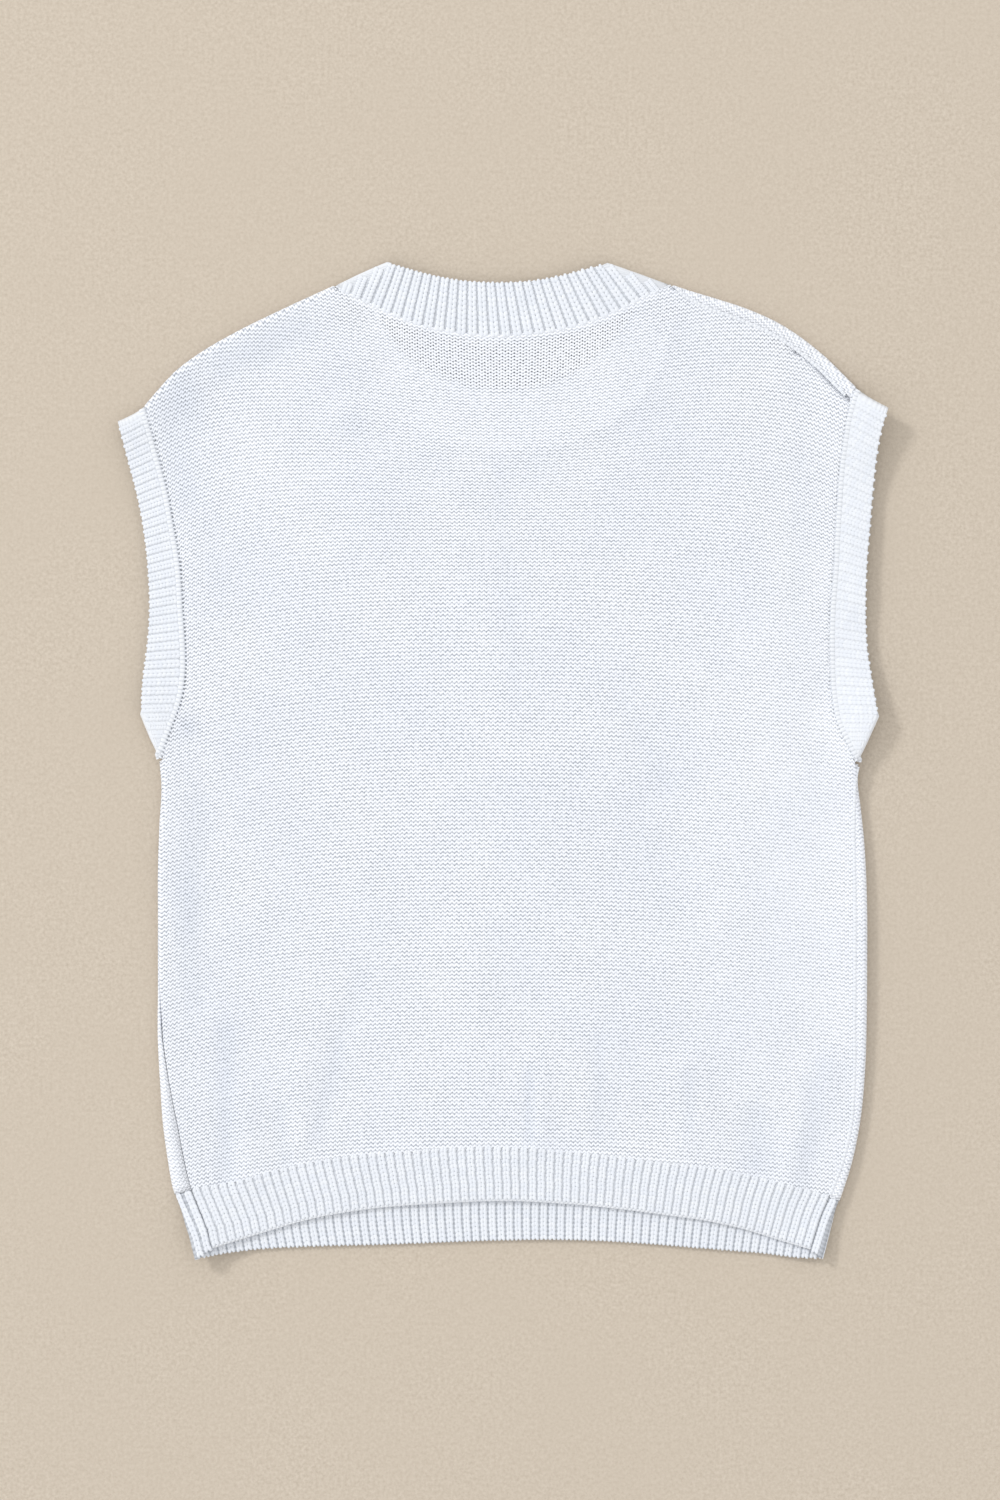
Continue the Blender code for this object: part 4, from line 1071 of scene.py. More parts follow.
def fold_station(side, part, at, layer, count=1):
    """One row or column of a panel where it runs over a closed edge.

    Returns the point of the panel's outline and the way in from it, then for each point of
    the row its depth beyond the outline, its layer, its turn round the fold, and how firmly
    it is held to that line.
    """
    seam = strip_path(np.interp(at, *side[part + "_strip"]))
    first, last = ((seam + SEAM_GAP / 2, seam + EDGE_DEPTH) if layer > 0
                   else (seam - SEAM_GAP / 2, -EDGE_DEPTH))
    paths = edge_paths(first, last, count)
    depth, turn = fold_point(paths)
    base = depth[0] if layer > 0 else WALL
    ahead, behind = walk(side[part], at + CURVE_STEP), walk(side[part], at - CURVE_STEP)
    along = (ahead - behind) / np.linalg.norm(ahead - behind)
    way_in = np.array([along[1], -along[0]]) * side["inward"]
    away = (paths - first) if layer > 0 else -paths - FOLD_RADIUS * math.pi / 2
    held = 1.0 - smooth_step(away / (EDGE_DEPTH - FOLD_SPAN))
    turn = np.where(turn >= math.pi / 2 - SAME, np.nan, turn)
    outline = walk(side[part], at) + way_in * base
    return (outline, way_in), (depth - base, np.sign(paths + SAME), turn, held)


def open_depths(count):
    """Depths of the same points along an open edge, where the cloth lies flat."""
    return EDGE_DEPTH * np.linspace(0, 1, count + 1) ** OPEN_CROWDING


print("depths in from an open edge:", open_depths(EDGE_COLUMNS).round(1))

# %% [markdown]
# ## The outline of a panel
#
# A panel ends at its seams, and on the right its seam lies on the upper face, where the front
# has rolled over. So each layer has an outline of its own, measured from the same fold.

# %% Outline of a panel
def panel_boundary(side, layer):
    """Corners of a panel's outline up one side: hem to underarm, underarm to shoulder."""
    stations = np.linspace(side["hem_at"], side["underarm_at"], SIDE_ROWS + 1)
    lower = np.array([fold_station(side, "lower", at, layer)[0][0] for at in stations])
    seam = armhole_seam(side)
    seam = inset(seam, beside(seam, 1), side["inward"])
    if layer > 0:
        strip = np.interp(side["shoulder_at"], *side["upper_strip"])
        stop = fold_point(strip_path(strip) + SEAM_GAP / 2)[0]
        last = stretch(seam, length(seam) - 2 * EDGE_DEPTH, length(seam))
        deep = fold_depth(last) >= stop
        seam[-1] = last[np.nonzero(deep)[0][-1]]
    lower[-1] = seam[0]
    lower[0, 1] += SEAM_GAP / 2
    return lower, seam


def shoulder_station(side, out):
    return side["shoulder_at"] + out * (side["neck_at"] - side["shoulder_at"])


def panel_top(neck_rows, layer, ends):
    """Corners of a panel's outline across its top: left shoulder, neck, right shoulder."""
    neck = neck_seam(neck_rows)
    neck = inset(neck, beside(neck, 1), 1.0)
    shares = 1 - crowded(SHOULDER_COLUMNS)[::-1]
    shoulders = [np.array([fold_station(side, "upper", at, layer)[0][0]
                           for at in shoulder_station(side, shares)])
                 for side in SIDES.values()]
    left, right = shoulders[0], shoulders[1][::-1]
    left[0], left[-1] = ends[0], neck[0]
    right[0], right[-1] = neck[-1], ends[1]
    return left, neck, right


print("corners up the left side:", sum(map(len, panel_boundary(SIDES["left"], UP))))

# %% [markdown]
# ## A grid inside four curves
#
# Coons' formula adds the two blends of opposite sides and takes away the blend of the corners,
# which was counted twice. The back then gets more rows where two lie far apart, so that its
# narrow creases show.

# %% Grid inside an outline
COARSEST = 4.0              # rows and columns of the back further apart than this are halved

def spread(low, high, shares):
    return low + (high - low) * shares


def joined(shares, curves):
    """One function of a share from 0 to 1 over outlines that follow each other."""
    corners, shares = np.vstack(curves), np.concatenate(shares)

    def at(share):
        return np.stack([np.interp(share, shares, corners[:, axis]) for axis in (0, 1)], -1)

    return at


def coons(bottom, top, left, right, u, v):
    """Points of the plan inside four boundary curves."""
    zero, one = np.zeros_like(u), np.ones_like(u)
    across, up = u[..., None], v[..., None]
    corners = ((1 - across) * (1 - up) * bottom(zero) + across * (1 - up) * bottom(one)
               + (1 - across) * up * top(zero) + across * up * top(one))
    return ((1 - up) * bottom(u) + up * top(u) + (1 - across) * left(v) + across * right(v)
            - corners)


def span_at(one, other, share):
    """Distance between two boundaries at the same share along both."""
    return float(np.linalg.norm(one(np.array([share])) - other(np.array([share]))))


def halved(plan, turns):
    """The grid with a row or column more wherever two lie far apart."""
    for axis in (0, 1):
        steps = np.linalg.norm(np.diff(plan, axis=axis), axis=-1).mean(axis=1 - axis)
        at = np.concatenate([np.arange(plan.shape[axis]), np.nonzero(steps > COARSEST)[0] + 0.5])
        low, high = (ends(np.sort(at)).astype(int) for ends in (np.floor, np.ceil))
        plan, turns = ((np.take(grid, low, axis) + np.take(grid, high, axis)) / 2
                       for grid in (plan, turns))
    return plan, turns


print("a middle row of four shares:", spread(0.2, 0.8, np.linspace(0, 1, 4)).round(2))

# %% [markdown]
# ## The panels themselves
#
# The plain part of the grid is the blend, and its outermost rows and columns are pulled onto
# the folds. The same function makes the back and the front.

# %% Panels
UNDERARM_AT = 0.55
NECK_AT = (0.27, 0.74)

def panel(name, layer, neck_rows, hem_rows):
    """Back or front panel, with extra rows and columns along its closed edges."""
    side_rows = np.linspace(0, UNDERARM_AT, SIDE_ROWS + 1)
    armhole_rows = spread(UNDERARM_AT, 1, crowded(ARMHOLE_ROWS))
    shoulder = crowded(SHOULDER_COLUMNS)
    columns = (spread(NECK_AT[0], 0, shoulder)[::-1],
               spread(*NECK_AT, crowded_twice(NECK_COLUMNS)),
               spread(NECK_AT[1], 1, shoulder))
    outlines = [panel_boundary(side, layer) for side in SIDES.values()]
    left, right = (joined((side_rows, armhole_rows), curves) for curves in outlines)
    top = joined(columns, panel_top(neck_rows, layer, [curves[1][-1] for curves in outlines]))
    hem = smooth_curve((tuple(outlines[0][0][0]),)
                       + tuple((x, y + SEAM_GAP / 2) for x, y in hem_rows)
                       + (tuple(outlines[1][0][0]),))
    bottom = joined((distances(hem) / length(hem),), (hem,))

    plain_rows = np.concatenate([side_rows, armhole_rows[1:-1]])
    plain_columns = np.concatenate([columns[0][1:], columns[1][1:], columns[2][1:-1]])
    edge = EDGE_COLUMNS + 1
    shape = (len(plain_rows) + edge, len(plain_columns) + 2 * edge)
    u, v = np.zeros(shape), np.zeros(shape)
    layers, turns, held = np.full(shape, layer), np.full(shape, np.nan), np.zeros(shape)
    places = np.zeros(shape + (2,))

    def follow(cells, side, part, at, outline_point, reverse):
        """Set the cells along a closed edge, and say how deep they go."""
        (_, way_in), row = fold_station(side, part, at, layer, EDGE_COLUMNS)
        depth, layers[cells], turns[cells], held[cells] = (
            item[::-1] if reverse else item for item in row)
        places[cells] = outline_point + way_in * depth[:, None]
        return depth

    for row in range(shape[0]):
        share = plain_rows[row] if row < len(plain_rows) else 1.0
        width = span_at(left, right, share)
        for name_of, outline, cells, reverse in (("left", left, np.s_[row, :edge], False),
                                                 ("right", right, np.s_[row, -edge:], True)):
            depth = open_depths(EDGE_COLUMNS)
            depth = depth[::-1] if reverse else depth
            if share <= UNDERARM_AT:
                side = SIDES[name_of]
                at = np.interp(share, (0, UNDERARM_AT), (side["hem_at"], side["underarm_at"]))
                depth = follow(cells, side, "lower", at, outline(share), reverse)
            u[cells] = 1 - depth / width if reverse else depth / width
        u[row, edge:-edge] = plain_columns
        v[row] = share

    for column in range(shape[1]):
        share = u[-1, column]
        height = span_at(top, bottom, share)
        cells = np.s_[-edge:, column]
        out = share / NECK_AT[0] if share < 0.5 else (1 - share) / (1 - NECK_AT[1])
        if out > 1 + SAME:
            depth = open_depths(EDGE_COLUMNS)[::-1]
        else:
            side = SIDES["left" if share < 0.5 else "right"]
            at = shoulder_station(side, out)
            depth = follow(cells, side, "upper", at, top(share), True)
            if min(column, shape[1] - 1 - column) < edge:
                held[cells] = 0.0
        v[cells] = 1 - depth / height

    plan = coons(bottom, top, left, right, u, v)
    plan += held[..., None] * (places - plan)
    if layer > 0:
        plan, turns = halved(plan, turns)
        layers = np.full(turns.shape, layer)
    points = inner_face(plan, layers, turns)
    counts = stitch_counts(unrolled(plan, layers, turns, layer))
    marks = {"hole_shade_and_fill": hole_shade_and_fill(points, layer), "shaded": shaded(points, layer)}
    return cloth(name, [(points, counts, marks, layer)], WALL, PURL_KNIT)


back = panel("back_panel_cloth", UP, NECK_BACK_SEAM, BACK_HEM_SEAM)
front = panel("front_panel_cloth", DOWN, NECK_FRONT_SEAM, FRONT_HEM_SEAM)

# %% [markdown]
# ## One-by-one rib
#
# A rib is knitted with one plain and one purl stitch in turn. The plain ones come forward in
# columns of small Vs, like plaits, and the purl ones sink between them. Here the sunken part is
# a plain sheet, and each V is two plump legs of yarn on top of it. About five thousand of them
# repeat over the bands, so Geometry Nodes place them: the script lays one point for each
# stitch, with its direction and its size, and the tree puts a V on each.

# %% Helpers for trees
def new_tree(name, inputs):
    """A Geometry Nodes tree with inputs of given kinds, and the outputs they arrive at."""
    tree = bpy.data.node_groups.new(name, "GeometryNodeTree")
    tree.interface.new_socket(name="Geometry", in_out="OUTPUT", socket_type="NodeSocketGeometry")
    for key, kind in dict({"Geometry": "Geometry"}, **inputs).items():
        tree.interface.new_socket(name=key, in_out="INPUT", socket_type="NodeSocket" + kind)
    return tree, tree.nodes.new("NodeGroupInput").outputs


def with_tree(piece, tree, values):
    """The piece as the tree makes it from values for its inputs."""
    modifier = piece.modifiers.new(tree.name, "NODES")
    modifier.node_group = tree
    for item in tree.interface.items_tree:
        if item.in_out == "INPUT" and item.name in values:
            modifier[item.identifier] = values[item.name]
    return plain_mesh(piece)


print("ready for trees")

# %% [markdown]
# ## One V
#
# A V is two balls drawn out long, leaning towards each other. A swept tube would be rounder at
# its ends and ten times as heavy. Each V is made a little larger or smaller than the next, as
# hand and machine both do.

# %% A tree that knits
RIB_FILL = 0.90             # share of a rib's pitch that its V takes up
STITCH_OVERLAP = 1.7        # a V is longer than its course, so it runs under the next one
LEG_SIDES, LEG_RINGS = 6, 5

def rib_tree():
    tree, given = new_tree("rib_of_v_stitches", {
        "Leg width": "Float", "Leg apart": "Float", "Leg lean": "Float", "Unevenness": "Float",
        "Seed": "Int", "Yarn": "Material"})
    ball = add(tree, "GeometryNodeMeshUVSphere", {"Segments": LEG_SIDES, "Rings": LEG_RINGS,
                                                  "Radius": 1.0})
    ball = add(tree, "GeometryNodeStoreNamedAttribute",
               {"Geometry": ball, "Name": "leg", "Value": ball.node.outputs["UV Map"]},
               data_type="FLOAT2", domain="CORNER")
    slim = add(tree, "ShaderNodeCombineXYZ", {"X": given["Leg width"], "Y": 1.0, "Z": 1.0})
    legs = []
    for side in (-1.0, 1.0):
        place = add(tree, MATH, {0: given["Leg apart"], 1: side}, operation="MULTIPLY")
        place = add(tree, "ShaderNodeCombineXYZ", {"X": place})
        lean = add(tree, MATH, {0: given["Leg lean"], 1: -side}, operation="MULTIPLY")
        lean = add(tree, "ShaderNodeCombineXYZ", {"Z": lean})
        legs.append(add(tree, "GeometryNodeTransform", {
            "Geometry": ball, "Translation": place, "Rotation": lean, "Scale": slim}))
    stitch = add(tree, "GeometryNodeJoinGeometry")
    for leg in legs:
        tree.links.new(leg, stitch.node.inputs[0])
    vectors = {name: add(tree, "GeometryNodeInputNamedAttribute", {"Name": name},
                         data_type="FLOAT_VECTOR") for name in ("along", "outward", "size")}
    turned = add(tree, "FunctionNodeAxesToRotation",
                 {0: vectors["outward"], 1: vectors["along"]}, primary_axis="Z",
                 secondary_axis="Y")
    least = add(tree, MATH, {0: 1.0, 1: given["Unevenness"]}, operation="SUBTRACT")
    most = add(tree, MATH, {0: 1.0, 1: given["Unevenness"]}, operation="ADD")
    uneven = add(tree, "FunctionNodeRandomValue",
                 {"Min": least, "Max": most, "Seed": given["Seed"]}, data_type="FLOAT_VECTOR")
    size = add(tree, "ShaderNodeVectorMath", {0: vectors["size"], 1: uneven},
               operation="MULTIPLY")
    knitted = add(tree, "GeometryNodeInstanceOnPoints", {
        "Points": given["Geometry"], "Instance": stitch, "Rotation": turned, "Scale": size})
    shade = add(tree, "FunctionNodeRandomValue", {2: 0.0, 3: 1.0, "Seed": given["Seed"]}, out=1,
                data_type="FLOAT")
    knitted = add(tree, "GeometryNodeStoreNamedAttribute",
                  {"Geometry": knitted, "Name": "shade", "Value": shade}, data_type="FLOAT",
                  domain="INSTANCE")
    knitted = add(tree, "GeometryNodeRealizeInstances", {"Geometry": knitted})
    knitted = add(tree, "GeometryNodeSetShadeSmooth", {"Geometry": knitted})
    knitted = add(tree, "GeometryNodeSetMaterial",
                  {"Geometry": knitted, "Material": given["Yarn"]})
    end = tree.nodes.new("NodeGroupOutput")
    tree.links.new(knitted, end.inputs[0])
    return tree


RIB_TREE = rib_tree()
print("the rib tree has", len(RIB_TREE.nodes), "nodes")

# %% [markdown]
# ## Yarn and the ground between the ribs
#
# The yarn is combed cotton of several plies, soft and without shine, with a faint twist across
# each leg. It gives the eye small round whites with no gleam on them. The sunken ground is the
# same yarn in shadow, so its colour is painted deeper as painted shade, with a painted dark dot
# between each two courses.

# %% Yarn
YARN_LIGHT, YARN_COOL = linear("#E8EBF0"), linear("#E2E6ED")
YARN_DEEP = linear("#D5DAE3")

def yarn_material():
    material, tree, shader = new_material("plied_combed_cotton_yarn",
                                          0.9, COTTON_SHINE, COTTON_FUZZ)
    shade = add(tree, "ShaderNodeAttribute", attribute_name="shade", out="Fac")
    tone = add(tree, "ShaderNodeMix", {0: shade, 6: YARN_LIGHT, 7: YARN_COOL}, out=2,
               data_type="RGBA")
    leg = add(tree, "ShaderNodeAttribute", attribute_name="leg", out="Vector")
    twist = add(tree, "ShaderNodeTexWave", {"Vector": leg, "Scale": 1.2, "Distortion": 0.6},
                bands_direction="DIAGONAL")
    faint = add(tree, MATH, {0: twist, 1: 0.25}, operation="MULTIPLY")
    colour = add(tree, "ShaderNodeMix", {0: faint, 6: tone, 7: YARN_DEEP}, out=2,
                 data_type="RGBA")
    tree.links.new(colour, shader.inputs["Base Color"])
    bump = add(tree, "ShaderNodeBump", {"Height": twist, "Strength": 0.3,
                                        "Distance": 0.15 * MM}, out="Normal")
    tree.links.new(bump, shader.inputs["Normal"])
    return material


YARN = yarn_material()
print("yarn has", len(YARN.node_tree.nodes), "nodes")

# %% Ground between the ribs
def ground_material():
    material, tree, shader = new_material("rib_ground_combed_cotton", 0.95, 0.2)
    counts = add(tree, "ShaderNodeUVMap", uv_map="stitches")
    course = add(tree, "ShaderNodeSeparateXYZ", {0: counts}, out="Y")
    turn = add(tree, MATH, {0: course, 1: TURN}, operation="MULTIPLY")
    dots = add(tree, MATH, {0: turn}, operation="COSINE")
    dots = add(tree, MATH, {0: dots, 1: 0.5, 2: 0.5}, operation="MULTIPLY_ADD")
    uneven = add(tree, "ShaderNodeTexNoise", {"Vector": counts, "Scale": 0.8, "Detail": 1.0})
    # Painted shade in the valleys: a deeper colour and a dark dot between each two courses
    deep = add(tree, "ShaderNodeAttribute", attribute_name="hole_shade_and_fill", out="Fac")
    dark = add(tree, MATH, {0: dots, 1: uneven}, operation="MULTIPLY")
    dark = add(tree, MATH, {0: dark, 1: deep}, operation="MULTIPLY")
    base = add(tree, "ShaderNodeMix", {0: deep, 6: YARN_LIGHT, 7: HOLLOW_SHADE}, out=2,
               data_type="RGBA")
    colour = add(tree, "ShaderNodeMix", {0: dark, 6: base, 7: HOLE_SHADE}, out=2,
                 data_type="RGBA")
    tree.links.new(colour, shader.inputs["Base Color"])
    bump = add(tree, "ShaderNodeBump", {"Height": dots, "Strength": 0.6,
                                        "Distance": 0.4 * MM}, out="Normal")
    tree.links.new(bump, shader.inputs["Normal"])
    return material


RIB_GROUND = ground_material()
print("ground has", len(RIB_GROUND.node_tree.nodes), "nodes")

# %% [markdown]
# ## Laying a band
#
# A band is a strip from its seam to its free edge. Its grid has the ribs across and the courses
# along, so a stitch is found by its two numbers. Where the strip's grid is known, so are the
# direction of a rib, the way out of the cloth and the room that each stitch has.

# %% Where each stitch sits
RIB_WALL = 1.35             # the ground below the Vs
# How far a leg's middle stands off the ground, and half its thickness: on the back, on the
# front, which is pressed flat on the table, inside the front, and on the armhole bands, which
# are stretched flat
LEG_SEATS = {"back": (0.40, 0.62), "front": (0.05, 0.55), "inside": (0.15, 0.62),
             "left": (0.06, 0.42), "right": (0.0, 0.32)}
FLATTEST = 0.25             # share of a stitch's height that is left on the crown of a fold
CROWN_CLEAR = 1.3           # no stitch nearer to a crown than this, where the knit is stretched
FIRST_CLEAR, LAST_CLEAR = 0.1, 0.05         # bare at a band's two ends, in ribs
COLUMNS_A_RIB = 4

def at_cells(grid, rows, columns):
    """Values of a grid at places between its rows and columns."""
    row = np.clip(rows, 0, grid.shape[0] - 1.001)
    column = np.clip(columns, 0, grid.shape[1] - 1.001)
    r, c = row.astype(int), column.astype(int)
    down, right = (row - r)[..., None], (column - c)[..., None]
    return ((1 - down) * ((1 - right) * grid[r, c] + right * grid[r, c + 1])
            + down * ((1 - right) * grid[r + 1, c] + right * grid[r + 1, c + 1]))


def outward(points, winding):
    """Directions out of the cloth at each point of its inner face."""
    return unit(np.cross(np.gradient(points, axis=1), np.gradient(points, axis=0))) * winding


def rib_sites(points, ribs, winding, courses, fill, soft, place_on, bare=(0.0, 0.0)):
    """One row for each V stitch of a sheet: place, rib direction, way out and size.

    soft is how far in from a fold the stitches are stretched flat, and bare how much of each
    rib is left without stitches at its first and its last row.
    """
    out, down = outward(points, winding), unit(np.gradient(points, axis=0))
    numbers = np.arange(math.ceil(ribs[0] + FIRST_CLEAR), ribs[-1] - LAST_CLEAR)
    columns = np.interp(numbers, ribs, np.arange(len(ribs)))
    every_row = np.arange(len(points))
    lines = at_cells(points, *np.meshgrid(every_row, columns, indexing="ij"))
    run = np.concatenate([np.zeros((1, len(columns))),
                          np.cumsum(np.linalg.norm(np.diff(lines, axis=0), axis=2), axis=0)])
    columns = np.broadcast_to(columns, (courses, len(columns)))

    def spots(course):
        """Rows of the grid at a course number of every rib, and the places there."""
        goal = bare[0] + (course / courses)[:, None] * (run[-1] - bare[0] - bare[1])
        rows = np.stack([np.interp(goal[:, rib], run[:, rib], every_row)
                         for rib in range(run.shape[1])], axis=1)
        beyond = goal - np.clip(goal, 0.0, run[-1])
        return rows, (at_cells(points, rows, columns)
                      + at_cells(down, rows, columns) * beyond[..., None])

    middle = np.arange(courses) + 0.5
    rows, place = spots(middle)
    way = unit(at_cells(out, rows, columns))
    along = spots(middle - 0.5)[1] - spots(middle + 0.5)[1]
    a_rib = (len(ribs) - 1) / (ribs[-1] - ribs[0])
    across = (at_cells(points, rows, columns + a_rib / 2)
              - at_cells(points, rows, columns - a_rib / 2))
    across -= (across * unit(along)).sum(-1, keepdims=True) * unit(along)
    seat, thick = LEG_SEATS[place_on]
    full = smooth_step((fold_depth(place[..., :2]) - WALL) / soft) if soft else 1.0
    full = FLATTEST + (1 - FLATTEST) * np.broadcast_to(full, rows.shape)
    stand = -seat if place_on == "inside" else RIB_WALL + seat * full[..., None]
    place = place + way * stand
    way = -way if place_on == "inside" else way
    size = np.stack([np.linalg.norm(across, axis=-1) * fill / 2,
                     np.linalg.norm(along, axis=-1) * STITCH_OVERLAP / 2,
                     thick * full], axis=-1)
    sites = np.concatenate([place, unit(along), way, size], axis=-1).reshape(-1, 12)
    return sites[fold_depth(sites[:, :2]) > WALL + CROWN_CLEAR] if soft else sites


print("seats of a stitch:", ", ".join(LEG_SEATS))

# %% [markdown]
# ## Ground and stitches
#
# A band is now two pieces: its ground, a sheet like the panels, and the mesh that the rib tree
# makes from a cloud of points. The points carry the direction and the size of each stitch.

# %% Knitting a band
V_STITCH = {"Leg width": 0.53, "Leg apart": 0.43, "Leg lean": 0.24, "Unevenness": 0.05}

def knit(name, sites, seed, **sizes):
    """A mesh of stitches, one at each site."""
    mesh = bpy.data.meshes.new(name)
    mesh.from_pydata((sites[:, :3] * MM).tolist(), [], [])
    for index, key in enumerate(("along", "outward", "size")):
        values = sites[:, 3 + 3 * index:6 + 3 * index] * (MM if key == "size" else 1.0)
        mesh.attributes.new(key, "FLOAT_VECTOR", "POINT").data.foreach_set(
            "vector", values.ravel())
    values = dict(V_STITCH, Seed=seed, Yarn=YARN)
    return with_tree(link(name, mesh), RIB_TREE, dict(values, **sizes))


def counts_of(points, ribs, courses):
    """Stitch counts for a band's ground."""
    rows = np.linspace(0, courses, len(points))
    return np.stack(np.meshgrid(ribs, rows), axis=-1)


def band(name, sheets, courses, seed, fill=RIB_FILL, soft=0.0):
    """A band's ground and its stitches.

    A sheet is (points, ribs, winding, the faces that carry stitches, bare ends, how much painted
    shade darkens its valleys).
    """
    ground = cloth(name + "_ground", [(points, counts_of(points, ribs, courses),
                                       {"hole_shade_and_fill": deep}, winding)
                                      for points, ribs, winding, _, _, deep in sheets],
                   RIB_WALL, RIB_GROUND)
    sites = [rib_sites(points, ribs, winding, courses, fill, soft, face, bare)
             for points, ribs, winding, faces, bare, _ in sheets for face in faces]
    stitches = knit(name + "_stitches", np.concatenate(sites), seed)
    return ground, stitches


bands = {}
print("ready to knit")

# %% [markdown]
# ## The hem bands
#
# The back hem rides up in an arch, and the front one shows below it. At the sides the front band
# rolls round onto the back, as the front panel does. Rows between a seam and a free edge are
# blends of the two, pulled to their places at the ends.

# %% Rows of a hem band
BACK_HEM_RISE = 4.0
BAND_ROWS = 14

def hem_ends(side, layer, shares):
    """Where the rows of a hem band meet the side: on the crown, and on the seam."""
    at = side["hem_at"] * (1 - shares)
    crown = inset(side["lower"], WALL, side["inward"])
    crown_at = [nearest(crown, point) for point in walk(side["lower"], at)]
    on_crown = walk(crown, np.array(crown_at))
    gap = SEAM_GAP / 2 if layer > 0 else -SEAM_GAP / 2
    path = strip_path(np.interp(at, *side["lower_strip"])) + gap
    depth = fold_point(path)[0]
    normal = on_crown - walk(side["lower"], at)
    normal /= np.linalg.norm(normal, axis=1)[:, None]
    on_seam = walk(side["lower"], at + BACK_HEM_RISE * shares) + normal * depth[:, None]
    return on_crown, on_seam, path


def hem_rows(seam_rows, edge_rows, starts, ends, shares):
    """Curves across the garment, one for each row of a hem band."""
    seam = smooth_curve((tuple(starts[0]),) + seam_rows + (tuple(ends[0]),))
    edge = smooth_curve((tuple(starts[-1]),) + edge_rows + (tuple(ends[-1]),))
    samples = np.linspace(0, 1, SAMPLES)
    top, bottom = walk(seam, samples * length(seam)), walk(edge, samples * length(edge))
    ramp = samples[:, None]
    curves = []
    for share, start, end in zip(shares, starts, ends):
        curve = top * (1 - share) + bottom * share
        curve = curve + (1 - ramp) * (start - curve[0]) + ramp * (end - curve[-1])
        curve[:, 1] -= SEAM_GAP / 2 * (1 - share)
        curves.append(curve)
    return curves


hem_shares = np.linspace(0, 1, BAND_ROWS)
print("rows of a hem band:", len(hem_ends(SIDES["left"], UP, hem_shares)[0]))

# %% Hem grids
BACK_HEM_RIBS, FRONT_HEM_RIBS = 72, 78

def back_hem_grid():
    shares = hem_shares
    starts, ends = (hem_ends(side, UP, shares)[1] for side in SIDES.values())
    curves = hem_rows(BACK_HEM_SEAM, BACK_HEM_EDGE, starts, ends, shares)
    steps = np.linspace(0, 1, COLUMNS_A_RIB * BACK_HEM_RIBS + 1)
    plan = np.stack([walk(curve, steps * length(curve)) for curve in curves])
    return inner_face(plan, UP)[::-1], steps * BACK_HEM_RIBS + 0.5


def front_hem_grid():
    """The band below, with its two ends rolled round the sides onto the upper face."""
    shares = hem_shares
    crown_l, seam_l, path_l = hem_ends(SIDES["left"], DOWN, shares)
    crown_r, seam_r, path_r = hem_ends(SIDES["right"], DOWN, shares)
    curves = hem_rows(FRONT_HEM_SEAM, FRONT_HEM_EDGE, crown_l, crown_r, shares)
    steps = np.linspace(0, 1, COLUMNS_A_RIB * FRONT_HEM_RIBS + 1)
    slack = FOLD_RADIUS * (math.pi / 2 - 1)
    plan = np.zeros((len(shares), len(steps), 2))
    layers, turns = np.zeros(plan.shape[:2]), np.full(plan.shape[:2], np.nan)
    for row, curve in enumerate(curves):
        width = length(curve)
        total = path_l[row] + width + 2 * slack + path_r[row]
        for column, step in enumerate(steps * total):
            from_left = step <= total / 2
            path = (path_l[row] - step) if from_left else (path_r[row] - (total - step))
            crown, seam = ((crown_l, seam_l) if from_left else (crown_r, seam_r))
            own = path_l[row] if from_left else path_r[row]
            depth, turn = fold_point(path)
            if path > 0:
                share = (depth - WALL) / (fold_point(own)[0] - WALL)
                plan[row, column] = crown[row] + share * (seam[row] - crown[row])
                plan[row, column, 1] -= SEAM_GAP / 2 * (1 - shares[row])
            else:
                offset = depth - WALL
                plan[row, column] = walk(curve, offset if from_left else width - offset)
            layers[row, column] = UP if path > 0 else DOWN
            turns[row, column] = turn if turn < math.pi / 2 else np.nan
    points = inner_face(plan, layers, turns)
    return points[::-1], steps * FRONT_HEM_RIBS + 0.5


back_hem, front_hem = back_hem_grid(), front_hem_grid()
print("corners in the back hem's grid:", back_hem[0].shape[:2])

# %% Hem bands
HEM_COURSES = 13
EDGE_ROLL = 1.2             # bare below the stitches of the back hem, for its rolled edge
OVER_SEAM = 1.5             # how far the first stitches of a rib reach over a seam
# Painted shade in the valleys of the two hem bands
BACK_HEM_SHADE, FRONT_HEM_SHADE = 0.2, 0.55
bands["back_hem_rib"] = band(
    "back_hem", [back_hem + (UP, ("back",), (EDGE_ROLL, -OVER_SEAM), BACK_HEM_SHADE)],
    HEM_COURSES, 11)
bands["front_hem_rib"] = band(
    "front_hem", [front_hem + (DOWN, ("front", "inside"), (0.0, 0.0), FRONT_HEM_SHADE)],
    HEM_COURSES, 12)

# %% [markdown]
# ## The armhole bands
#
# Each armhole band is a ring laid flat: closed by a fold under the arm and another over the cap
# of the shoulder, and open between them. Its ribs run square to the seam. They are stretched
# wider than the hem's, so the valleys between them are narrow and faint.

# %% A ring laid flat
FOLD_CROWDING = 1.6
ring_shares = np.linspace(0, 1, BAND_ROWS) ** FOLD_CROWDING

def ring_grid(outers, inners, crowned):
    """Rows from the outer line to the inner one, crowded towards the outer line.

    crowned says which points of the outer line lie on the crown of a fold.
    """
    plan = outers + ring_shares[:, None, None] * (inners - outers)
    turns = np.full(plan.shape[:2], np.nan)
    turns[0, crowned] = 0.0
    return plan, turns


print("rows of a ring at", ring_shares.round(2))

# %% Armhole grids
ARMHOLE_RIBS = 39.0
ARMHOLE_FOLD_RIBS = 5.5
LINK_STRIP = 4.6            # smooth strip between the ribs and the seam
# Painted shade in the valleys of the armhole bands
ARMHOLE_SHADES = {"left": 0.28, "right": 0.12}
UNDERARM_FADE = (1.5, 9.0)  # ribs over which the valleys fade in above the underarm
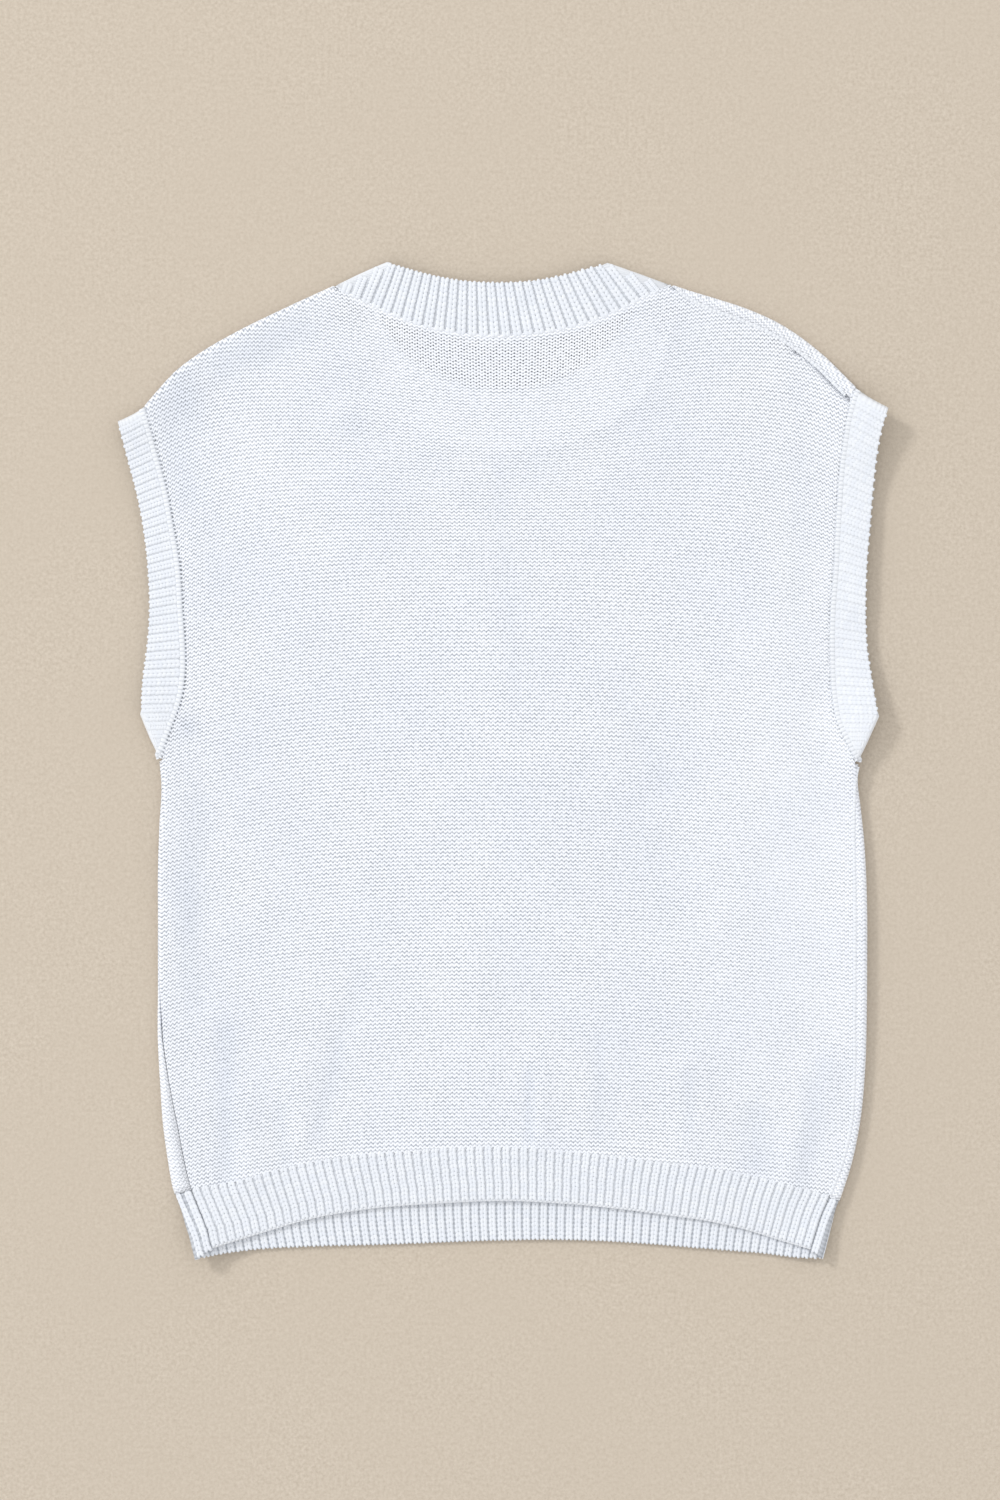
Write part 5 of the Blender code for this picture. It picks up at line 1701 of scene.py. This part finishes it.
# Painted shade along the seam row of the armhole bands
SEAM_SHADES = {"left": 0.7, "right": 0.1}
SEAM_FADE = (25.0, 36.0)     # ribs over which the seam closes up towards the shoulder
SEAM_CLOSES = 0.7            # and the share of its shade that is lost there
FIRST_RIB = 0.25
# The painted shade of the valleys fades out towards a fold
FOLD_LIGHT = 11.0           # how far in from a fold the valleys are stretched open and light
CAP_EASE = 3.0              # ribs over which the rows bend to the fold of the cap

def armhole_grids(name):
    side = SIDES[name]
    inward = side["inward"]
    crown = inset(side["lower"], WALL, inward)
    fold_start = nearest(crown, walk(side["lower"], side["underarm_at"]))
    fold = stretch(crown, fold_start, length(crown))
    cap = inset(stretch(side["upper"], 0.0, side["shoulder_at"]), WALL, inward)
    edge = smooth_curve((tuple(fold[-1]),) + side["armhole_edge"] + (tuple(cap[0]),))
    seam = armhole_seam(side)
    seam = inset(seam, beside(seam, -1), inward)
    seam[-1] = cap[-1]
    ribs = np.arange(FIRST_RIB, ARMHOLE_RIBS + SAME, 1 / COLUMNS_A_RIB)
    on_fold = ribs <= ARMHOLE_FOLD_RIBS
    share = (ribs - ARMHOLE_FOLD_RIBS) / (ARMHOLE_RIBS - ARMHOLE_FOLD_RIBS)
    outers = np.where(on_fold[:, None],
                      walk(fold, ribs / ARMHOLE_FOLD_RIBS * length(fold)),
                      walk(edge, share * length(edge)))
    inners = walk(seam, ribs / ARMHOLE_RIBS * length(seam))
    grids = []
    for layer in (UP, DOWN):
        plan, turns = ring_grid(outers, inners, on_fold)
        bend = walk(cap, ring_shares * length(cap)) - plan[:, -1]
        ease = smooth_step(1 - (ARMHOLE_RIBS - ribs) / CAP_EASE)
        plan = plan + bend[:, None] * ease[:, None]
        turns[:, -1] = 0.0
        # Painted shade of the valleys, and of the seam row
        deep = ARMHOLE_SHADES[name] * smooth_step(fold_depth(plan) / FOLD_LIGHT)
        deep *= smooth_step((ribs - UNDERARM_FADE[0]) / (UNDERARM_FADE[1] - UNDERARM_FADE[0]))
        closing = smooth_step((ribs - SEAM_FADE[0]) / (SEAM_FADE[1] - SEAM_FADE[0]))
        deep[-1] = SEAM_SHADES[name] * (1 - SEAM_CLOSES * closing)
        face = name if layer > 0 else "front"
        grids.append((inner_face(plan, layer, turns), ribs, -layer * inward, (face,),
                      (0.0, LINK_STRIP), deep))
    return grids


armholes = {name: armhole_grids(name) for name in SIDES}
print("layers of the armhole bands:", [len(sheets) for sheets in armholes.values()])

# %% Armhole bands
ARMHOLE_COURSES = 8
ARMHOLE_FILL = 0.96
ARMHOLE_SOFT = 14.0

for name, seed in (("left", 13), ("right", 14)):
    bands[name + "_armhole_rib"] = band(name + "_armhole", armholes[name], ARMHOLE_COURSES,
                                        seed, ARMHOLE_FILL, ARMHOLE_SOFT)

# %% [markdown]
# ## The neckband
#
# The neckband is a ring too. Its back half lies on top from ear to ear, with its ribs fanned
# out, and its front half lies below, inside the neck.

# %% Neckband
NECK_BACK_RIBS, NECK_FRONT_RIBS = 31.5, 39.0
NECK_FOLD_RIBS = 3.5
NECK_COURSES = 11
# Painted shade in the valleys of the neckband
NECK_SHADE = 0.3
NECK_SOFT = 7.0

def neck_grids():
    folds = []
    for side in SIDES.values():
        crown = inset(side["upper"], WALL, side["inward"])
        start = nearest(crown, walk(side["upper"], side["neck_at"]))
        folds.append(stretch(crown, start, length(crown)))
    back_seam, front_seam = (inset(seam, beside(seam, -1), 1.0)
                             for seam in map(neck_seam, (NECK_BACK_SEAM, NECK_FRONT_SEAM)))
    ears = [tuple(fold[-1]) for fold in folds]
    back_edge = smooth_curve((ears[0],) + NECK_BACK_EDGE + (ears[1],))
    front_edge = smooth_curve((ears[0],) + NECK_FRONT_EDGE + (ears[1],))

    def on_line(ribs, total, middle):
        """The line of folds and middle that the ribs of one half start from."""
        span = total - 2 * NECK_FOLD_RIBS
        places = walk(middle, (ribs - NECK_FOLD_RIBS) / span * length(middle))
        for which, from_end in ((0, ribs), (1, total - ribs)):
            if middle is back_edge:
                share = from_end / NECK_FOLD_RIBS
            else:
                share = 1 - from_end / NECK_FOLD_RIBS
            folded = from_end <= NECK_FOLD_RIBS
            places[folded] = walk(folds[which], share[folded] * length(folds[which]))
        return places

    step = 1 / COLUMNS_A_RIB
    grids = []
    ribs = np.arange(FIRST_RIB, NECK_BACK_RIBS, step)
    outers = on_line(ribs, NECK_BACK_RIBS, back_edge)
    inners = walk(back_seam, ribs / NECK_BACK_RIBS * length(back_seam))
    crowned = np.minimum(ribs, NECK_BACK_RIBS - ribs) <= NECK_FOLD_RIBS
    plan, turns = ring_grid(outers, inners, crowned)
    grids.append((inner_face(plan, UP, turns), ribs, DOWN, ("back",),
                  (0.0, -OVER_SEAM), NECK_SHADE * smooth_step(fold_depth(plan) / FOLD_LIGHT)))
    ribs = np.arange(FIRST_RIB, NECK_FRONT_RIBS, step)
    outers = on_line(ribs, NECK_FRONT_RIBS, front_seam)
    inners = walk(front_edge, ribs / NECK_FRONT_RIBS * length(front_edge))
    crowned = np.minimum(ribs, NECK_FRONT_RIBS - ribs) <= NECK_FOLD_RIBS
    plan, turns = ring_grid(outers, inners, crowned)
    grids.append((inner_face(plan, DOWN, turns), ribs, DOWN, ("front",),
                  (-OVER_SEAM, 0.0), NECK_SHADE))
    return grids


neck = neck_grids()
bands["neck_rib"] = band("neck", neck, NECK_COURSES, 15, soft=NECK_SOFT)

# %% [markdown]
# ## Rolled edges and linking strips
#
# Where a band was linked on, a narrow smooth strip of chain stitches runs beside the seam, and
# the back hem ends in a small rolled edge. Both follow a path, so a second tree sweeps a flat
# oval along a line of points, and keeps the length along it for the marks of the stitches.

# %% A tree that rolls an edge
OVAL_SIDES = 10

def roll_tree():
    tree, given = new_tree("rolled_edge", {"Half width": "Float", "Half height": "Float",
                                           "Stitch length": "Float", "Yarn": "Material"})
    line = add(tree, "GeometryNodeMeshToCurve", {"Mesh": given["Geometry"]})
    line = add(tree, "GeometryNodeSetCurveNormal", {"Curve": line}, mode="Z_UP")
    run = add(tree, "GeometryNodeSplineParameter", out="Length")
    count = add(tree, MATH, {0: run, 1: given["Stitch length"]}, operation="DIVIDE")
    count = add(tree, "ShaderNodeCombineXYZ", {"X": count})
    line = add(tree, "GeometryNodeStoreNamedAttribute",
               {"Geometry": line, "Name": "chain", "Value": count}, data_type="FLOAT_VECTOR",
               domain="POINT")
    oval = add(tree, "GeometryNodeCurvePrimitiveCircle", {"Resolution": OVAL_SIDES,
                                                          "Radius": 1.0})
    flat = add(tree, "ShaderNodeCombineXYZ", {"X": given["Half width"],
                                              "Y": given["Half height"], "Z": 1.0})
    oval = add(tree, "GeometryNodeTransform", {"Geometry": oval, "Scale": flat})
    roll = add(tree, "GeometryNodeCurveToMesh", {"Curve": line, "Profile Curve": oval,
                                                 "Fill Caps": True})
    roll = add(tree, "GeometryNodeRealizeInstances", {"Geometry": roll})
    roll = add(tree, "GeometryNodeSetShadeSmooth", {"Geometry": roll})
    roll = add(tree, "GeometryNodeSetMaterial", {"Geometry": roll, "Material": given["Yarn"]})
    end = tree.nodes.new("NodeGroupOutput")
    tree.links.new(roll, end.inputs[0])
    return tree


ROLL_TREE = roll_tree()
print("the roll tree has", len(ROLL_TREE.nodes), "nodes")

# %% [markdown]
# ## Chain stitches
#
# The linking strip is the band's own yarn, pulled smooth. The eye sees one soft matt line with a
# faint dent between each two stitches. The dents are too small to model, so they are relief and
# painted shade along the strip.

# %% Linked chain
def chain_material():
    material, tree, shader = new_material("linked_chain_combed_cotton",
                                          0.9, COTTON_SHINE, COTTON_FUZZ)
    chain = add(tree, "ShaderNodeAttribute", attribute_name="chain", out="Vector")
    count = add(tree, "ShaderNodeSeparateXYZ", {0: chain})
    turn = add(tree, MATH, {0: count, 1: TURN}, operation="MULTIPLY")
    plump = add(tree, MATH, {0: turn}, operation="COSINE")
    plump = add(tree, MATH, {0: plump, 1: 0.5, 2: 0.5}, operation="MULTIPLY_ADD")
    # Painted shade in the dent between two stitches
    gap = add(tree, MATH, {0: 1.0, 1: plump}, operation="SUBTRACT")
    gap = add(tree, MATH, {0: gap, 1: 4.0}, operation="POWER")
    gap = add(tree, MATH, {0: gap, 1: 0.5}, operation="MULTIPLY")
    colour = add(tree, "ShaderNodeMix", {0: gap, 6: YARN_LIGHT, 7: HOLLOW_SHADE}, out=2,
                 data_type="RGBA")
    tree.links.new(colour, shader.inputs["Base Color"])
    bump = add(tree, "ShaderNodeBump", {"Height": plump, "Strength": 0.5,
                                        "Distance": 0.4 * MM}, out="Normal")
    tree.links.new(bump, shader.inputs["Normal"])
    return material


CHAIN = chain_material()
print("chain has", len(CHAIN.node_tree.nodes), "nodes")

# %% Rolled edge and linking strips
CHAIN_STITCH = 2.9

def roll(name, line, half_width, half_height):
    """A smooth strip along a line of points."""
    mesh = bpy.data.meshes.new(name)
    mesh.from_pydata((line * MM).tolist(), [(i, i + 1) for i in range(len(line) - 1)], [])
    return with_tree(link(name, mesh), ROLL_TREE, {
        "Half width": half_width * MM, "Half height": half_height * MM,
        "Stitch length": CHAIN_STITCH * MM, "Yarn": CHAIN})


def line_on(points, winding, inset_by, from_last, stand):
    """A line on a sheet's outer face, a distance in from its first or last row."""
    rows = points[::-1] if from_last else points
    out = outward(points, winding)
    out = out[::-1] if from_last else out
    steps = np.linalg.norm(np.diff(rows, axis=0), axis=2)
    run = np.concatenate([np.zeros((1, steps.shape[1])), np.cumsum(steps, axis=0)])
    at = [np.interp(inset_by, run[:, column], np.arange(len(rows)))
          for column in range(run.shape[1])]
    place = (np.array(at), np.arange(len(at)))
    return at_cells(rows, *place) + unit(at_cells(out, *place)) * stand


STRIP_IN = {"left": 2.8, "right": 2.3}      # from the seam to the strip's middle
STRIP_HALF_WIDTH = 1.9
STRIP_SEATS = (("back", 1.25, 0.62), ("front", 1.1, 0.6))   # face, stand, half height
EDGE_IN, EDGE_STAND = 0.75, 0.95    # the back hem's rolled edge: in from its end, off its face
EDGE_HALVES = (0.9, 0.85)           # its half width and half height
edge_line = line_on(back_hem[0], UP, EDGE_IN, False, EDGE_STAND)
trims = {"back_hem_rib": [roll("back_hem_edge", edge_line, *EDGE_HALVES)]}
for name, sheets in armholes.items():
    trims[name + "_armhole_rib"] = [
        roll(f"{name}_armhole_link_{face}", line_on(points, winding, STRIP_IN[name], True, stand),
             STRIP_HALF_WIDTH, high)
        for (points, _, winding, *_), (face, stand, high) in zip(sheets, STRIP_SEATS)]
print("rolled edge and", len(STRIP_SEATS) * len(armholes), "linking strips")

# %% [markdown]
# ## Yarn inside the seams
#
# Between two edges that are linked, the loops of the seam fill the joint. The solids leave a
# hair's breadth there, which would show as a bare dark gap. So a thin roll of the same yarn runs
# along each joint, a little below its surface. It could be left dark, but a real seam is only
# a row of faint dots.

# %% Yarn in the seams of the bands
IN_SEAM = (0.8, 0.45)       # half width and half height
PAST_ENDS = 1.3             # how far the yarn reaches past the last stitches of a seam
# How far it stands off the inner face of the band
YARN_STANDS = {"back_hem_rib": 0.95, "neck_rib": 0.95, "left_armhole_rib": 0.5,
               "right_armhole_rib": 1.05}

def lengthened(line):
    """A line with one more point beyond each end."""
    first, last = unit(line[0] - line[1]), unit(line[-1] - line[-2])
    return np.vstack([line[:1] + first * PAST_ENDS, line, line[-1:] + last * PAST_ENDS])


upper = {"back_hem_rib": back_hem + (UP,), "neck_rib": neck[0]}
upper.update((name + "_armhole_rib", sheets[0]) for name, sheets in armholes.items())
for node, stand in YARN_STANDS.items():
    points, _, winding, *_ = upper[node]
    line = line_on(points, winding, 0.0, True, stand)
    line = lengthened(line) if node == "neck_rib" else line
    trims.setdefault(node, []).append(roll(node + "_seam_yarn", line, *IN_SEAM))

# %% [markdown]
# ## The stitches across the seams
#
# A linking machine joins two edges with one loop across the seam every few millimetres, and the
# dark of the seam shows between the loops as a line of dots. The rib tree makes these too: with
# its legs set apart and upright, each of its Vs is two such loops side by side.

# %% Sites along a seam
def seam_sites(line, out, pitch, reach, thick):
    """One row for each pair of loops across a seam."""
    steps = np.linalg.norm(np.diff(line, axis=0), axis=1)
    run = np.concatenate([[0.0], np.cumsum(steps)])
    at = np.arange(pitch, run[-1] - pitch, 2 * pitch)
    index = np.interp(at, run, np.arange(len(run)))
    tangents = np.gradient(line, axis=0)

    def pick(values):
        return np.stack([np.interp(index, np.arange(len(line)), values[:, axis])
                         for axis in range(3)], axis=1)

    way, tangent = unit(pick(out)), unit(pick(tangents))
    across = unit(np.cross(way, tangent))
    size = np.tile([pitch, reach, thick], (len(at), 1))
    return np.concatenate([pick(line), across, way, size], axis=1)


def strip_line(side, part, start, end):
    """The seam beside a closed edge, on the outer face, and the way out of the cloth."""
    at = np.linspace(start, end, SAMPLES)
    stations = [fold_station(side, part, place, UP) for place in at]
    outline = np.array([station[0][0] for station in stations])
    way_in = np.array([station[0][1] for station in stations])
    path = strip_path(np.interp(at, *side[part + "_strip"]))
    turn = np.minimum(path / FOLD_RADIUS, math.pi / 2)
    out = np.concatenate([-way_in * np.cos(turn)[:, None], np.sin(turn)[:, None]], axis=1)
    turns = np.where(turn < math.pi / 2 - SAME, turn, np.nan)
    return inner_face(outline, UP, turns) + out * WALL, out


print("ready to link")

# %% Seam stitches
SEAM_LOOPS = {"Leg width": 0.30, "Leg apart": 0.5, "Leg lean": 0.0, "Unevenness": 0.12}
LOOP_PITCH = 2.8
SIDE_LOOP_PITCH = 2.7
SIDE_YARN = (1.1, 0.5)      # half width and half height of the yarn in them
SIDE_YARN_DEPTH = 0.15      # below the surface
LOOP_REACH, LOOP_THICK = 1.5, 0.42
SIDE_LOOP_REACH, SIDE_LOOP_THICK = 1.3, 0.3
LOOP_STAND = 0.35           # above a band's ground
SEAM_END = 2.0              # bare of loops at each end of a side seam
for seed, (name, sheets) in enumerate(armholes.items(), start=16):
    points, _, winding, *_ = sheets[0]
    line = line_on(points, winding, 0.0, True, RIB_WALL + LOOP_STAND)
    out = outward(points, winding)[-1]
    sites = seam_sites(line, out, LOOP_PITCH, LOOP_REACH, LOOP_THICK)
    trims[name + "_armhole_rib"].append(
        knit(name + "_armhole_loops", sites, seed, **SEAM_LOOPS))
seam_loops, side_yarns = [], []
for part, start, end in (("lower", "hem_at", "underarm_at"),
                         ("upper", "shoulder_at", "neck_at")):
    line, out = strip_line(SIDES["right"], part, SIDES["right"][start] + SEAM_END,
                           SIDES["right"][end] - SEAM_END)
    seam_loops.append(seam_sites(line, out, SIDE_LOOP_PITCH, SIDE_LOOP_REACH, SIDE_LOOP_THICK))
    side_yarns.append(roll(f"right_{part}_seam_yarn", line - out * SIDE_YARN_DEPTH, *SIDE_YARN))
side_loops = knit("right_side_loops", np.concatenate(seam_loops), 18,
                  **dict(SEAM_LOOPS, **{"Leg width": 0.44}))
side_trims = side_yarns + [side_loops]

# %% [markdown]
# ## Each piece in the frame
#
# Last, every mesh is tied to the one body, and the solid of the model that it stands for, or is
# sewn to, is hidden.

def place_in_frame(node, sheet, extras):
    """Tie a knitted piece and what is sewn to it to the body, and hide the solid of its node."""
    for piece in [sheet] + extras:
        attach(piece, "root")
    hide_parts(node)


place_in_frame("back_panel", back, [])
place_in_frame("front_panel", front, side_trims)
for node, (ground, stitches) in bands.items():
    place_in_frame(node, ground, [stitches] + trims.get(node, []))
